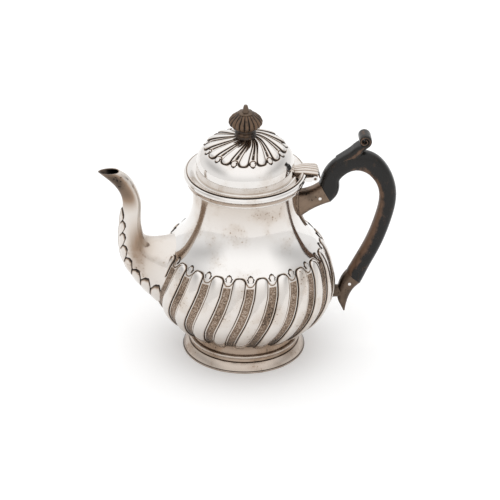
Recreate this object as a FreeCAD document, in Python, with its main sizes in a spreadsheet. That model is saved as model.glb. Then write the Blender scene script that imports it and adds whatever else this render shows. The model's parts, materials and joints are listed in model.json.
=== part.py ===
import FreeCAD, Part
import math
import os

import Sketcher
from FreeCAD import Placement, Rotation, Vector

# A silver teapot: a bellied body on a moulded foot, a swan-neck spout with a leaf under it,
# a carved wooden handle pinned into two sockets, and a domed lid on a five-knuckle hinge.
# The axis of the body is Z, the foot stands on z = 0, the spout points along -X and the
# handle along +X. All sizes are in millimetres and all leans are in degrees.

SIZES = {
    # Body: two belly arcs meet at the widest point, and a hollow arc makes the neck
    "belly_radius": 64.0,
    "belly_height": 50.0,
    "lower_belly_arc": 31.5,
    "upper_belly_arc": 51.0,
    "neck_radius": 36.4,
    "neck_height": 118.0,
    "mouth_rise": 20.9,
    "body_wall": 1.2,
    "solder_gap": 0.05,
    # Strainer: rings of holes in the body wall behind the spout
    "strainer_height": 61.0,
    "strainer_pitch": 5.8,
    "strainer_hole_radius": 1.6,
    # Rim moulding round the mouth
    "rim_depth": 8.2,
    "rim_cap": 3.4,
    "rim_projection": 3.187,
    "rim_lower_projection": 2.43,
    "rim_bead_height": 3.4,
    "rim_edge_round": 0.6,
    "rim_bevel": 1.3,
    # Foot
    "foot_spread": 6.3,
    "foot_edge": 1.3,
    "skirt_spread": 2.1,
    "skirt_height": 6.7,
    "skirt_arc": 7.0,
    "collar_radius": 36.6,
    "foot_wall": 1.4,
    "foot_rest_width": 2.1,
    "wire_radius": 1.3,
    "wire_height": 10.5,
    # Spout and the leaf under it
    "spout_wall": 1.1,
    "leaf_thickness": 1.5,
    "leaf_margin": 6.0,
    "leaf_tip_height": 113.0,
    # Handle, its tenons, sockets and pins
    "tenon_radius": 4.4,
    "tenon_length": 10.0,
    "tenon_clearance": 0.1,
    "bore_relief": 0.5,
    "handle_pin_radius": 1.1,
    "handle_pin_inset": 5.0,
    "roll_radius": 4.5,
    "roll_length": 12.4,
    "roll_neck": 7.2,
    "roll_out": 39.9,
    "roll_rise": 22.7,
    "tongue_out": 30.5,
    "tongue_rise": 10.0,
    "tongue_length": 16.0,
    "tongue_width": 11.0,
    "boss_radius": 4.4,
    "boss_height": 40.5,
    "plate_thickness": 1.0,
    "plate_top_drop": 16.0,
    "plate_length": 29.0,
    "plate_half_width": 9.5,
    # Lid
    "lid_inset": 1.8,
    "lid_edge": 0.9,
    "lid_wall": 1.0,
    "seat_width": 1.0,
    "seat_clearance": 0.3,
    "flange_drop": 1.9,
    "dome_inset": 2.17,
    "dome_swell": 1.1,
    "shoulder_rise": 6.3,
    "dome_rise": 29.0,
    "crown_arc": 43.0,
    "bezel_depth": 7.0,
    "bezel_wall": 1.0,
    "bezel_clearance": 0.9,
    # Hinge
    "hinge_out": 5.2,
    "hinge_drop": 3.0,
    "barrel_radius": 2.1,
    "barrel_length": 20.0,
    "knuckle_gap": 0.3,
    "hinge_pin_radius": 1.0,
    "pin_clearance": 0.05,
    "leaf_plate": 1.6,
    "leaf_half_width": 8.6,
    "leaf_reach": 9.0,
    "curl_start": 120.0,
    "curl_end": 25.0,
    "hinge_clearance": 0.4,
    "lug_width": 2.6,
    "bracket_half_width": 11.0,
    "bracket_depth": 3.4,
    # Finial
    "bolt_radius": 1.8,
    "bolt_clearance": 0.1,
    "finial_collar_radius": 7.5,
    "finial_collar_rise": 4.2,
    "finial_collar_top": 5.8,
    "knob_radius": 12.0,
    "knob_rise": 12.4,
    "knob_waist_rise": 4.8,
    "knob_top_radius": 5.2,
    "knob_lower_arc": 8.0,
    "knob_upper_arc": 12.0,
    "petal_radius": 5.0,
    "petal_thickness": 0.8,
    "tip_radius": 2.7,
    "tip_top_radius": 1.3,
    "tip_rise": 5.2,
    "washer_radius": 6.0,
    "washer_thickness": 0.9,
    "nut_width": 7.0,
    "nut_thickness": 2.6,
    "bolt_end": 1.5,
}

# Sections of the swept pieces, from root to end. Each has the distance of its middle from
# the surface that carries the piece, its height, half its depth and half its width, and the
# lean of its depth from upright. The handle's upper half is counted out from the rim and up
# from the mouth, the rest out from the belly and up from the foot.
COLUMNS = ("out", "height", "depth", "width", "lean")
SPOUT = {
    "seat": (-18.0, 57.5, 30.0, 24.0, 8.0),
    "root": (-7.5, 62.9, 24.2, 19.4, 11.5),
    "flare": (3.0, 68.3, 18.8, 15.0, 15.0),
    "knee": (11.0, 75.5, 14.4, 12.0, 22.0),
    "bend": (15.0, 85.0, 11.8, 9.8, 38.0),
    "climb": (16.2, 97.5, 9.0, 8.0, 55.0),
    "throat": (15.7, 109.5, 6.9, 6.8, 70.0),
    "waist": (15.7, 119.0, 5.7, 6.0, 80.0),
    "sweep": (18.0, 126.7, 5.6, 5.4, 77.0),
    "flute": (22.0, 133.6, 6.2, 5.0, 75.0),
    "lip": (31.2, 142.0, 7.5, 4.6, 90.0),
}
HANDLE_TOP = {
    "ferrule": (13.4, -18.2, 8.0, 6.8, -28.0),
    "shoulder": (15.0, -15.9, 7.8, 6.8, -33.0),
    "rise": (16.8, -7.6, 6.5, 6.3, -54.0),
    "turn": (19.9, -2.1, 6.6, 6.2, -38.0),
    "arch": (30.5, 4.9, 7.0, 6.2, -6.0),
    "crest": (41.0, 4.8, 7.6, 6.2, 24.0),
    "back": (51.4, -4.1, 6.8, 6.2, 50.0),
    "side": (57.1, -20.9, 6.0, 6.0, 74.0),
}
HANDLE_FOOT = {
    "fall": (33.2, 98.7, 5.8, 6.0, 105.0),
    "taper": (24.9, 75.8, 5.8, 6.0, 113.0),
    "heel": (19.5, 65.0, 5.9, 5.9, 117.0),
    "toe": (13.2, 52.0, 6.4, 5.8, 131.0),
}
SOCKET_TOP = {
    "root": (-6.4, -31.0, 14.5, 7.6, 0.0),
    "bow": (5.5, -21.9, 7.3, 6.9, -11.0),
}
SOCKET_FOOT = {
    "shank": (8.0, 44.5, 5.6, 5.2, 100.0),
    "spur": (5.9, 35.7, 4.0, 3.6, 80.0),
    "tail": (6.0, 30.0, 2.2, 2.0, 85.0),
    "point": (6.8, 24.3, 0.5, 0.5, 85.0),
}
SECTIONS = {
    "spout": SPOUT,
    "handle_top": HANDLE_TOP,
    "handle_foot": HANDLE_FOOT,
    "socket_top": SOCKET_TOP,
    "socket_foot": SOCKET_FOOT,
}

doc = FreeCAD.newDocument("teapot")
sheet = doc.addObject("Spreadsheet::Sheet", "Sizes")
pieces = []


class Size:
    """A number that also carries the sheet formula it comes from."""

    def __init__(self, number, formula):
        self.number = float(number)
        self.formula = formula

    def __add__(self, other):
        other = as_size(other)
        return Size(self.number + other.number, f"({self.formula} + {other.formula})")

    def __sub__(self, other):
        other = as_size(other)
        return Size(self.number - other.number, f"({self.formula} - {other.formula})")

    def __mul__(self, other):
        other = as_size(other)
        return Size(self.number * other.number, f"({self.formula} * {other.formula})")

    def __truediv__(self, other):
        other = as_size(other)
        return Size(self.number / other.number, f"({self.formula} / {other.formula})")

    def __neg__(self):
        return Size(-self.number, f"(0 - {self.formula})")


def as_size(value):
    """Give a plain number the same form as a size from the sheet."""
    if isinstance(value, Size):
        return value
    return Size(value, f"({float(value)})")


def root(value):
    """Square root of a size."""
    return Size(math.sqrt(value.number), f"sqrt({value.formula})")


def smaller(first, second):
    """The smaller of two sizes."""
    return Size(min(first.number, second.number), f"min({first.formula}; {second.formula})")


def sine(angle):
    """Sine of an angle in degrees."""
    return Size(math.sin(math.radians(angle.number)), f"sin({angle.formula} * 1 deg)")


def cosine(angle):
    """Cosine of an angle in degrees."""
    return Size(math.cos(math.radians(angle.number)), f"cos({angle.formula} * 1 deg)")


def fill_sheet():
    """Write every driving dimension into the sheet, one named cell each."""
    named = dict(SIZES)
    for piece, sections in SECTIONS.items():
        for place, values in sections.items():
            for column, value in zip(COLUMNS, values):
                named[f"{piece}_{place}_{column}"] = value
    for row, (name, value) in enumerate(named.items(), start=1):
        sheet.set(f"A{row}", name)
        sheet.set(f"B{row}", str(value))
        sheet.setAlias(f"B{row}", name)
    doc.recompute()
    return {name: Size(value, f"Sizes.{name}") for name, value in named.items()}


size = fill_sheet()
gap = size["solder_gap"]


def origin_plane(body, role):
    """One of a body's own origin planes."""
    return [plane for plane in body.Origin.OriginFeatures if plane.Role == role][0]


def new_sketch(body, name, role="XZ_Plane"):
    """An empty sketch on one of the body's origin planes."""
    sketch = body.newObject("Sketcher::SketchObject", name)
    sketch.AttachmentSupport = [(origin_plane(body, role), "")]
    sketch.MapMode = "FlatFace"
    return sketch


def drive(sketch, constraint, value):
    """Add a constraint and bind its value to the sheet."""
    index = sketch.addConstraint(constraint)
    sketch.setExpression(f"Constraints[{index}]", value.formula)


def pin_point(sketch, geometry, point, across, up):
    """Hold a point of a sketch at a place measured from the sketch's origin."""
    drive(sketch, Sketcher.Constraint("DistanceX", -1, 1, geometry, point, across.number), across)
    drive(sketch, Sketcher.Constraint("DistanceY", -1, 1, geometry, point, up.number), up)


def draw_circle(sketch, across, up, radius):
    """A circle whose middle and radius follow the sheet."""
    centre = Vector(across.number, up.number, 0)
    circle = Part.Circle(centre, Vector(0, 0, 1), radius.number)
    index = sketch.addGeometry(circle)
    pin_point(sketch, index, 3, across, up)
    drive(sketch, Sketcher.Constraint("Radius", index, radius.number), radius)


def draw_arc(start, end, centre):
    """The shorter arc between two points about a centre, and whether it runs anticlockwise."""
    first = start - centre
    last = end - centre
    anticlockwise = first.x * last.y - first.y * last.x > 0
    if not anticlockwise:
        first, last = last, first
    circle = Part.Circle(centre, Vector(0, 0, 1), first.Length)
    begin = math.atan2(first.y, first.x)
    finish = math.atan2(last.y, last.x)
    return Part.ArcOfCircle(circle, begin, finish), anticlockwise


def draw_outline(sketch, corners):
    """A closed outline. A corner is (across, up), reached by a straight edge, or has the
    centre of the arc that reaches it as two more sizes."""
    corners = [tuple(as_size(value) for value in corner) for corner in corners]
    points = [Vector(corner[0].number, corner[1].number, 0) for corner in corners]
    ends = []
    for index, corner in enumerate(corners):
        start = points[index - 1]
        end = points[index]
        if len(corner) == 2:
            edge = sketch.addGeometry(Part.LineSegment(start, end))
            ends.append((edge, 1, 2))
        else:
            centre = Vector(corner[2].number, corner[3].number, 0)
            arc, anticlockwise = draw_arc(start, end, centre)
            edge = sketch.addGeometry(arc)
            ends.append((edge, 1, 2) if anticlockwise else (edge, 2, 1))
    for index, (edge, first, last) in enumerate(ends):
        following, follow_first, _ = ends[(index + 1) % len(ends)]
        sketch.addConstraint(Sketcher.Constraint("Coincident", edge, last, following, follow_first))
        pin_point(sketch, edge, last, corners[index][0], corners[index][1])
    for index, (edge, _, _) in enumerate(ends):
        corner = corners[index]
        if len(corner) == 4:
            across = corner[0] - corner[2]
            up = corner[1] - corner[3]
            radius = root(across * across + up * up)
            drive(sketch, Sketcher.Constraint("Radius", edge, radius.number), radius)


def bulge_centre(start, end, arc):
    """Centre of the arc of that radius between two corners, on the left of the way between them."""
    across = end[0] - start[0]
    up = end[1] - start[1]
    chord = root(across * across + up * up)
    back = root(arc * arc - chord * chord / 4.0)
    middle_across = (start[0] + end[0]) / 2.0
    middle_up = (start[1] + end[1]) / 2.0
    return middle_across - up / chord * back, middle_up + across / chord * back


def new_body(label):
    """An empty body with its own name."""
    return doc.addObject("PartDesign::Body", label)


def keep(piece, label):
    """Name a finished piece and put it on the list of pieces."""
    piece.Label = label
    pieces.append(piece)
    return piece


def turned(label, corners):
    """A piece turned about Z from its half outline of radius and height."""
    body = new_body(label)
    sketch = new_sketch(body, label + "_outline")
    draw_outline(sketch, corners)
    turn = body.newObject("PartDesign::Revolution", label + "_turn")
    turn.Profile = sketch
    turn.ReferenceAxis = (sketch, ["V_Axis"])
    turn.Angle = 360
    return body


def pad_outline(body, name, corners, length, role="XZ_Plane", symmetric=True):
    """Add a straight block with the given outline to a body."""
    sketch = new_sketch(body, name + "_outline", role)
    draw_outline(sketch, corners)
    return pad_sketch(body, name, sketch, length, symmetric)


def pad_sketch(body, name, sketch, length, symmetric=True):
    """Pad a sketch by a length from the sheet."""
    pad = body.newObject("PartDesign::Pad", name)
    pad.Profile = sketch
    pad.setExpression("Length", length.formula)
    if symmetric:
        pad.SideType = "Symmetric"
    return pad


def drill_across(body, name, across, up, radius):
    """Drill a hole along Y right through a body."""
    sketch = new_sketch(body, name + "_outline")
    draw_circle(sketch, across, up, radius)
    hole = body.newObject("PartDesign::Pocket", name)
    hole.Profile = sketch
    hole.Type = "ThroughAll"
    hole.SideType = "Symmetric"


def joined(kind, label, base, tool):
    """A boolean of two objects, such as a piece cut to the surface it sits on."""
    result = doc.addObject(kind, label)
    result.Base = base
    result.Tool = tool
    return result


class Section:
    """One section of a swept piece: its middle, half depth, half width and lean."""

    def __init__(self, across, height, depth, width, lean):
        self.across = across
        self.height = height
        self.depth = depth
        self.width = width
        self.lean = lean

    def grown(self, amount):
        """The same section, larger all round."""
        return Section(self.across, self.height, self.depth + amount, self.width + amount, self.lean)

    def along(self, distance):
        """The place on the section's normal at a distance from its middle."""
        across = self.across - cosine(self.lean) * distance
        height = self.height + sine(self.lean) * distance
        return across, height


def named_sections(piece, side, carrier, base_height):
    """The sections of one table, placed from the surface that carries them."""
    result = []
    for place in SECTIONS[piece]:
        out, height, depth, width, lean = [size[f"{piece}_{place}_{column}"] for column in COLUMNS]
        across = (carrier + out) * side
        result.append(Section(across, base_height + height, depth, width, lean))
    return result


def place_on_section(sketch, section):
    """Attach a sketch to a section's plane, with its X along the depth and its Y along Y."""
    lean = section.lean - 90.0
    middle = Vector(section.across.number, 0, section.height.number)
    sketch.AttachmentOffset = Placement(middle, Rotation(Vector(0, 1, 0), lean.number))
    sketch.setExpression(".AttachmentOffset.Base.x", section.across.formula)
    sketch.setExpression(".AttachmentOffset.Base.z", section.height.formula)
    sketch.setExpression(".AttachmentOffset.Rotation.Angle", lean.formula)


def rounded_corners(depth, width):
    """A rectangle whose corners are rounded almost to an oval."""
    corner = smaller(depth, width) * 0.8
    flat_depth = depth - corner
    flat_width = width - corner
    return [
        (depth, -flat_width, flat_depth, -flat_width),
        (depth, flat_width),
        (flat_depth, width, flat_depth, flat_width),
        (-flat_depth, width),
        (-depth, flat_width, -flat_depth, flat_width),
        (-depth, -flat_width),
        (-flat_depth, -width, -flat_depth, -flat_width),
        (flat_depth, -width),
    ]


def loft(body, name, sections, kind="PartDesign::AdditiveLoft"):
    """A smooth solid through sections, added to a body or taken from it."""
    sketches = []
    for number, section in enumerate(sections):
        sketch = new_sketch(body, f"{name}_section_{number}", "XY_Plane")
        place_on_section(sketch, section)
        draw_outline(sketch, rounded_corners(section.depth, section.width))
        sketches.append(sketch)
    feature = body.newObject(kind, name)
    feature.Profile = sketches[0]
    feature.Sections = sketches[1:]
    return feature


# Body

belly_radius = size["belly_radius"]
belly_height = size["belly_height"]
mouth = size["neck_height"] + size["mouth_rise"]
wall = size["body_wall"]
low_arc = size["lower_belly_arc"]
high_arc = size["upper_belly_arc"]
low_centre = belly_radius - low_arc
high_centre = belly_radius - high_arc
neck_reach = size["neck_radius"] - high_centre
neck_rise = size["neck_height"] - belly_height
# The neck arc is the one that touches the upper belly arc and is narrowest at the neck
neck_arc = (neck_reach * neck_reach + neck_rise * neck_rise - high_arc * high_arc) / (
    (high_arc - neck_reach) * 2.0)
neck_centre = size["neck_radius"] + neck_arc
shell_top = mouth - size["rim_cap"]


def neck_radius_at(height, offset):
    """Radius of the neck at a height, measured on a surface that far outside the shell."""
    arc = neck_arc - offset
    rise = height - size["neck_height"]
    return neck_centre - root(arc * arc - rise * rise)


rim_radius = neck_radius_at(shell_top, as_size(0)) + size["rim_projection"]
lid_radius = rim_radius - size["lid_inset"]


def underside_at(radius, offset):
    """Height of the belly's underside at a radius, on a surface that far outside the shell."""
    arc = low_arc + offset
    reach = radius - low_centre
    return belly_height - root(arc * arc - reach * reach)


def belly_corners(offset, top):
    """The outside of the body from the middle of its floor to the given height."""
    low = low_arc + offset
    widest = belly_radius + offset
    share = (high_arc + offset) / (high_arc + neck_arc)
    meet_across = high_centre + (neck_centre - high_centre) * share
    meet_up = belly_height + neck_rise * share
    return [
        (as_size(0), belly_height - low),
        (low_centre, belly_height - low),
        (widest, belly_height, low_centre, belly_height),
        (meet_across, meet_up, high_centre, belly_height),
        (neck_radius_at(top, offset), top, neck_centre, size["neck_height"]),
    ]


def walled(outside, inside):
    """An outline that runs up the outside corners and back down the inside ones."""
    back = [inside[-1][:2]]
    for lower, upper in zip(inside[-2::-1], inside[:0:-1]):
        back.append(tuple(lower[:2]) + tuple(upper[2:]))
    return outside + back


def body_envelope(label, offset):
    """The body as a full solid, that far outside the shell, to cut what sits on it."""
    corners = belly_corners(offset, mouth)
    return turned(label, corners + [(as_size(0), mouth)])


def make_body_shell():
    """The raised vessel, with the strainer pierced behind the spout."""
    outside = belly_corners(as_size(0), shell_top)
    inside = belly_corners(-wall, shell_top)
    body = turned("body_shell", walled(outside, inside))
    sketch = new_sketch(body, "strainer_outline", "YZ_Plane")
    pitch = size["strainer_pitch"]
    for ring, count in ((0, 1), (1, 6), (2, 12)):
        for step in range(count):
            turn = 2 * math.pi * step / count
            across = pitch * (ring * math.cos(turn))
            up = size["strainer_height"] + pitch * (ring * math.sin(turn))
            draw_circle(sketch, across, up, size["strainer_hole_radius"])
    holes = body.newObject("PartDesign::Pocket", "strainer_holes")
    holes.Profile = sketch
    holes.Type = "ThroughAll"
    keep(body, "body_shell")


def make_mouth_rim():
    """The moulded wire that caps the shell and seats the lid."""
    bottom = mouth - size["rim_depth"]
    under_cap = shell_top + gap
    bead_foot = mouth - size["rim_bead_height"]
    edge = size["rim_edge_round"]
    rim = rim_radius
    lower = neck_radius_at(bottom, as_size(0)) + size["rim_lower_projection"]
    inner = neck_radius_at(shell_top, -wall)
    seat_edge = lid_radius - size["seat_width"] + size["seat_clearance"]
    body = turned("mouth_rim", [
        (neck_radius_at(bottom, gap), bottom, neck_centre, size["neck_height"]),
        (lower, bottom),
        (rim, bead_foot),
        (rim, mouth - edge),
        (rim - edge, mouth, rim - edge, mouth - edge),
        (seat_edge, mouth),
        (inner, mouth - size["rim_bevel"]),
        (inner, under_cap),
        (neck_radius_at(under_cap, gap), under_cap),
    ])
    keep(body, "mouth_rim")


def make_foot():
    """The spreading foot and the half-round wire at its waist."""
    collar = size["collar_radius"]
    thick = size["foot_wall"]
    foot = collar + size["foot_spread"]
    skirt = collar + size["skirt_spread"]
    skirt_top = size["skirt_height"]
    edge = size["foot_edge"]
    inner = collar - thick
    wire = size["wire_radius"]
    wire_up = size["wire_height"]
    swell = bulge_centre((foot, edge), (skirt, skirt_top), size["skirt_arc"])
    body = turned("foot_ring", [
        (foot, as_size(0)),
        (foot, edge),
        (skirt, skirt_top) + swell,
        (collar, wire_up - wire),
        (collar, underside_at(collar, gap)),
        (inner, underside_at(inner, gap), low_centre, belly_height),
        (inner, wire_up - wire),
        (skirt - thick, skirt_top - thick),
        (foot - size["foot_rest_width"], edge),
        (foot - size["foot_rest_width"], as_size(0)),
    ])
    keep(body, "foot_ring")
    ring = collar + gap
    middle = ring + wire / 2.0
    bead = turned("foot_wire", [
        (ring, wire_up - wire),
        (middle, wire_up - wire),
        (middle + wire, wire_up, middle, wire_up),
        (middle, wire_up + wire, middle, wire_up),
        (ring, wire_up + wire),
    ])
    keep(bead, "foot_wire")


# Spout


def make_spout(envelope):
    """The hollow spout, cut to the belly, and the leaf that clasps its underside."""
    sections = named_sections("spout", -1.0, belly_radius, as_size(0))
    blank = new_body("spout_blank")
    loft(blank, "spout_outside", sections)
    channel = [section.grown(-size["spout_wall"]) for section in sections]
    loft(blank, "spout_channel", channel, "PartDesign::SubtractiveLoft")
    keep(joined("Part::Cut", "spout", blank, envelope), "spout")

    core = new_body("spout_core")
    loft(core, "spout_core_outside", [section.grown(gap) for section in sections])
    sheath = new_body("leaf_blank")
    thick = size["leaf_thickness"]
    loft(sheath, "leaf_outside", [section.grown(gap + thick) for section in sections])
    # Everything on the body's side of the margin is trimmed away
    trim = new_body("leaf_trim")
    clasped = [section for section in sections if section.height.number < size["leaf_tip_height"].number]
    edge = [leaf_edge(section) for section in clasped[:-1]]
    tip_across = clasped[-1].across - clasped[-1].depth - thick * 2.0
    tip = size["leaf_tip_height"]
    top = sections[-1].height + thick
    beyond = sections[-1].across - sections[-1].depth - thick * 2.0
    inside = as_size(0)
    corners = [(inside, edge[0][1])] + edge
    corners += [(tip_across, tip), (beyond, tip), (beyond, top), (inside, top)]
    pad_outline(trim, "leaf_trim_block", corners, sections[0].width * 4.0)
    clasp = joined("Part::Cut", "leaf_clasp", sheath, core)
    sheet_leaf = joined("Part::Cut", "leaf_trimmed", clasp, trim)
    keep(joined("Part::Cut", "spout_leaf", sheet_leaf, envelope), "spout_leaf")


def leaf_edge(section):
    """The point of a section where the leaf's edge lies, in from the underside."""
    inset = section.depth - size["leaf_margin"]
    return section.across - sine(section.lean) * inset, section.height - cosine(section.lean) * inset


# Handle


def tenon_sketch(body, name, section, radius):
    """A round outline on the end plane of a handle or socket."""
    sketch = new_sketch(body, name + "_outline", "XY_Plane")
    place_on_section(sketch, section)
    draw_circle(sketch, as_size(0), as_size(0), radius)
    return sketch


def add_tenon(body, name, section, towards_normal):
    """A round tenon on the end of the wood."""
    sketch = tenon_sketch(body, name, section, size["tenon_radius"])
    tenon = pad_sketch(body, name, sketch, size["tenon_length"], symmetric=False)
    tenon.Reversed = not towards_normal


def bore_socket(body, name, section, towards_normal):
    """The bore of a socket, a little wider and deeper than the tenon."""
    sketch = tenon_sketch(body, name, section, size["tenon_radius"] + size["tenon_clearance"])
    bore = body.newObject("PartDesign::Pocket", name)
    bore.Profile = sketch
    bore.setExpression("Length", (size["tenon_length"] + size["bore_relief"]).formula)
    bore.Reversed = towards_normal


def cross_pin(label, across, up, length):
    """A plain pin along Y."""
    body = new_body(label)
    sketch = new_sketch(body, label + "_outline")
    draw_circle(sketch, across, up, size["handle_pin_radius"])
    pad_sketch(body, label + "_wire", sketch, length)
    keep(body, label)


def make_handle(envelope):
    """The wooden grip, the two silver sockets and the pins that hold it in them."""
    upper = named_sections("handle_top", 1.0, rim_radius, mouth)
    lower = named_sections("handle_foot", 1.0, belly_radius, as_size(0))
    ferrule = upper[0]
    toe = lower[-1]
    inset = size["handle_pin_inset"]
    hole = size["handle_pin_radius"] + size["pin_clearance"]
    upper_pin = ferrule.along(inset)
    lower_pin = toe.along(-inset)

    grip = new_body("handle_grip")
    loft(grip, "grip_bow", upper + lower)
    tongue_foot = mouth + size["tongue_rise"]
    roll_across = rim_radius + size["roll_out"]
    roll_up = mouth + size["roll_rise"]
    neck = size["roll_neck"] / 2.0
    start = rim_radius + size["tongue_out"]
    pad_outline(grip, "tongue", [
        (start, tongue_foot),
        (start + size["tongue_length"], tongue_foot),
        (roll_across + neck, roll_up),
        (roll_across - neck, roll_up),
    ], size["tongue_width"])
    sketch = new_sketch(grip, "roll_outline")
    draw_circle(sketch, roll_across, roll_up, size["roll_radius"])
    pad_sketch(grip, "thumb_roll", sketch, size["roll_length"])
    add_tenon(grip, "upper_tenon", ferrule, True)
    add_tenon(grip, "lower_tenon", toe, False)
    drill_across(grip, "upper_pin_hole", upper_pin[0], upper_pin[1], hole)
    drill_across(grip, "lower_pin_hole", lower_pin[0], lower_pin[1], hole)
    keep(grip, "handle_grip")

    thick = size["plate_thickness"]
    root_section, bow = named_sections("socket_top", 1.0, rim_radius, mouth)
    root_section.across = size["neck_radius"] + size["socket_top_root_out"]
    blank = new_body("upper_socket_blank")
    loft(blank, "upper_socket_taper", [root_section, bow, ferrule])
    bore_socket(blank, "upper_socket_bore", ferrule, True)
    drill_across(blank, "upper_socket_hole", upper_pin[0], upper_pin[1], hole)
    plate_envelope = body_envelope("plate_envelope", gap * 2.0 + thick)
    keep(joined("Part::Cut", "upper_handle_socket", blank, plate_envelope), "upper_handle_socket")
    make_socket_plate(envelope, thick)

    spur = named_sections("socket_foot", 1.0, belly_radius, as_size(0))
    socket = new_body("lower_handle_socket")
    loft(socket, "lower_socket_taper", [toe] + spur)
    bore_socket(socket, "lower_socket_bore", toe, False)
    drill_across(socket, "lower_socket_hole", lower_pin[0], lower_pin[1], hole)
    keep(socket, "lower_handle_socket")
    make_boss(envelope, socket, spur[1])

    cross_pin("upper_handle_pin", upper_pin[0], upper_pin[1], bow.width + ferrule.width)
    cross_pin("lower_handle_pin", lower_pin[0], lower_pin[1], spur[0].width + toe.width)


def make_socket_plate(envelope, thick):
    """The pointed back plate, bent to the neck under the upper socket."""
    top = mouth - size["plate_top_drop"]
    bottom = top - size["plate_length"]
    half = size["plate_half_width"]
    shoulder = top - size["plate_length"] / 3.0
    sheet_outside = body_envelope("plate_outside", gap + thick)
    ring = joined("Part::Cut", "plate_ring", sheet_outside, envelope)
    shield = new_body("plate_shield")
    pad_outline(shield, "plate_shield_block", [
        (as_size(0), bottom),
        (half, shoulder),
        (half, top),
        (-half, top),
        (-half, shoulder),
    ], belly_radius, "YZ_Plane", symmetric=False)
    keep(joined("Part::Common", "upper_socket_plate", ring, shield), "upper_socket_plate")


def make_boss(envelope, socket, spur):
    """The short boss that stands the lower socket off the belly."""
    blank = new_body("boss_blank")
    sketch = new_sketch(blank, "boss_outline", "YZ_Plane")
    draw_circle(sketch, as_size(0), size["boss_height"], size["boss_radius"])
    pad_sketch(blank, "boss_bar", sketch, spur.across - spur.depth / 2.0, symmetric=False)
    seated = joined("Part::Cut", "boss_seated", blank, envelope)
    keep(joined("Part::Cut", "lower_socket_boss", seated, socket), "lower_socket_boss")


# Lid

lid_wall = size["lid_wall"]
crown_top = mouth + size["dome_rise"]
crown_arc = size["crown_arc"]
crown_centre = crown_top - crown_arc
shoulder_up = mouth + size["shoulder_rise"]
dome_base = mouth - size["flange_drop"]
bezel_bottom = mouth - size["bezel_depth"]
bezel_outer = neck_radius_at(bezel_bottom, -wall) - size["bezel_clearance"]
bezel_inner = bezel_outer - size["bezel_wall"]
base_radius = bezel_inner - size["dome_inset"]
dome_radius = base_radius + size["dome_swell"]
bolt_hole = size["bolt_radius"] + size["bolt_clearance"]
crown_drop = shoulder_up - crown_centre
# The shoulder arc ends upright at the dome's side and touches the crown arc from inside
shoulder_arc = (crown_arc * crown_arc - dome_radius * dome_radius - crown_drop * crown_drop) / (
    (crown_arc - dome_radius) * 2.0)
shoulder_centre = dome_radius - shoulder_arc
seat_inner = lid_radius - size["seat_width"]
flange_under = dome_base - lid_wall
flange_slope = (mouth - flange_under) / (seat_inner - base_radius)


def crown_at(radius, offset):
    """Height of the crown at a radius, on a surface that far outside the lid."""
    arc = crown_arc + offset
    return crown_centre + root(arc * arc - radius * radius)


def dome_corners(offset):
    """The dome from the bolt hole to its base, that far outside the lid."""
    share = (crown_arc + offset) / (crown_arc - shoulder_arc)
    return [
        (bolt_hole, crown_at(bolt_hole, offset)),
        (shoulder_centre * share, crown_centre + crown_drop * share, as_size(0), crown_centre),
        (dome_radius + offset, shoulder_up, shoulder_centre, shoulder_up),
    ]


def make_lid():
    """The lid with its flange, and the bezel that centres it in the mouth."""
    outside = dome_corners(as_size(0))
    inside = dome_corners(-lid_wall)
    lid = lid_radius
    edge_up = mouth + size["lid_edge"]
    flange = [
        (base_radius, dome_base),
        (lid - size["lid_edge"], edge_up),
        (lid, edge_up - size["lid_edge"] / 2.0),
        (lid, mouth),
        (seat_inner, mouth),
        (base_radius, flange_under),
        (base_radius - lid_wall, flange_under),
    ]
    back = [
        inside[2][:2],
        inside[1][:2] + inside[2][2:],
        inside[0][:2] + inside[1][2:],
    ]
    keep(turned("lid_dome", outside + flange + back), "lid_dome")

    bezel = turned("lid_bezel", [
        (bezel_inner, bezel_bottom),
        (bezel_outer, bezel_bottom),
        (bezel_outer, mouth - (seat_inner - bezel_outer) * flange_slope - gap),
        (bezel_inner, mouth - (seat_inner - bezel_inner) * flange_slope - gap),
    ])
    keep(bezel, "lid_bezel")

    return turned("lid_envelope", [
        (as_size(0), flange_under),
        (base_radius, flange_under),
        (lid, mouth),
        (lid + gap, mouth),
        (lid + gap, edge_up - size["lid_edge"] / 2.0),
        (lid - size["lid_edge"], edge_up + gap),
        (base_radius + gap, dome_base + gap),
        (dome_radius + gap, shoulder_up),
        (dome_radius + gap, crown_top),
        (as_size(0), crown_top),
    ])


# Hinge


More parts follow.
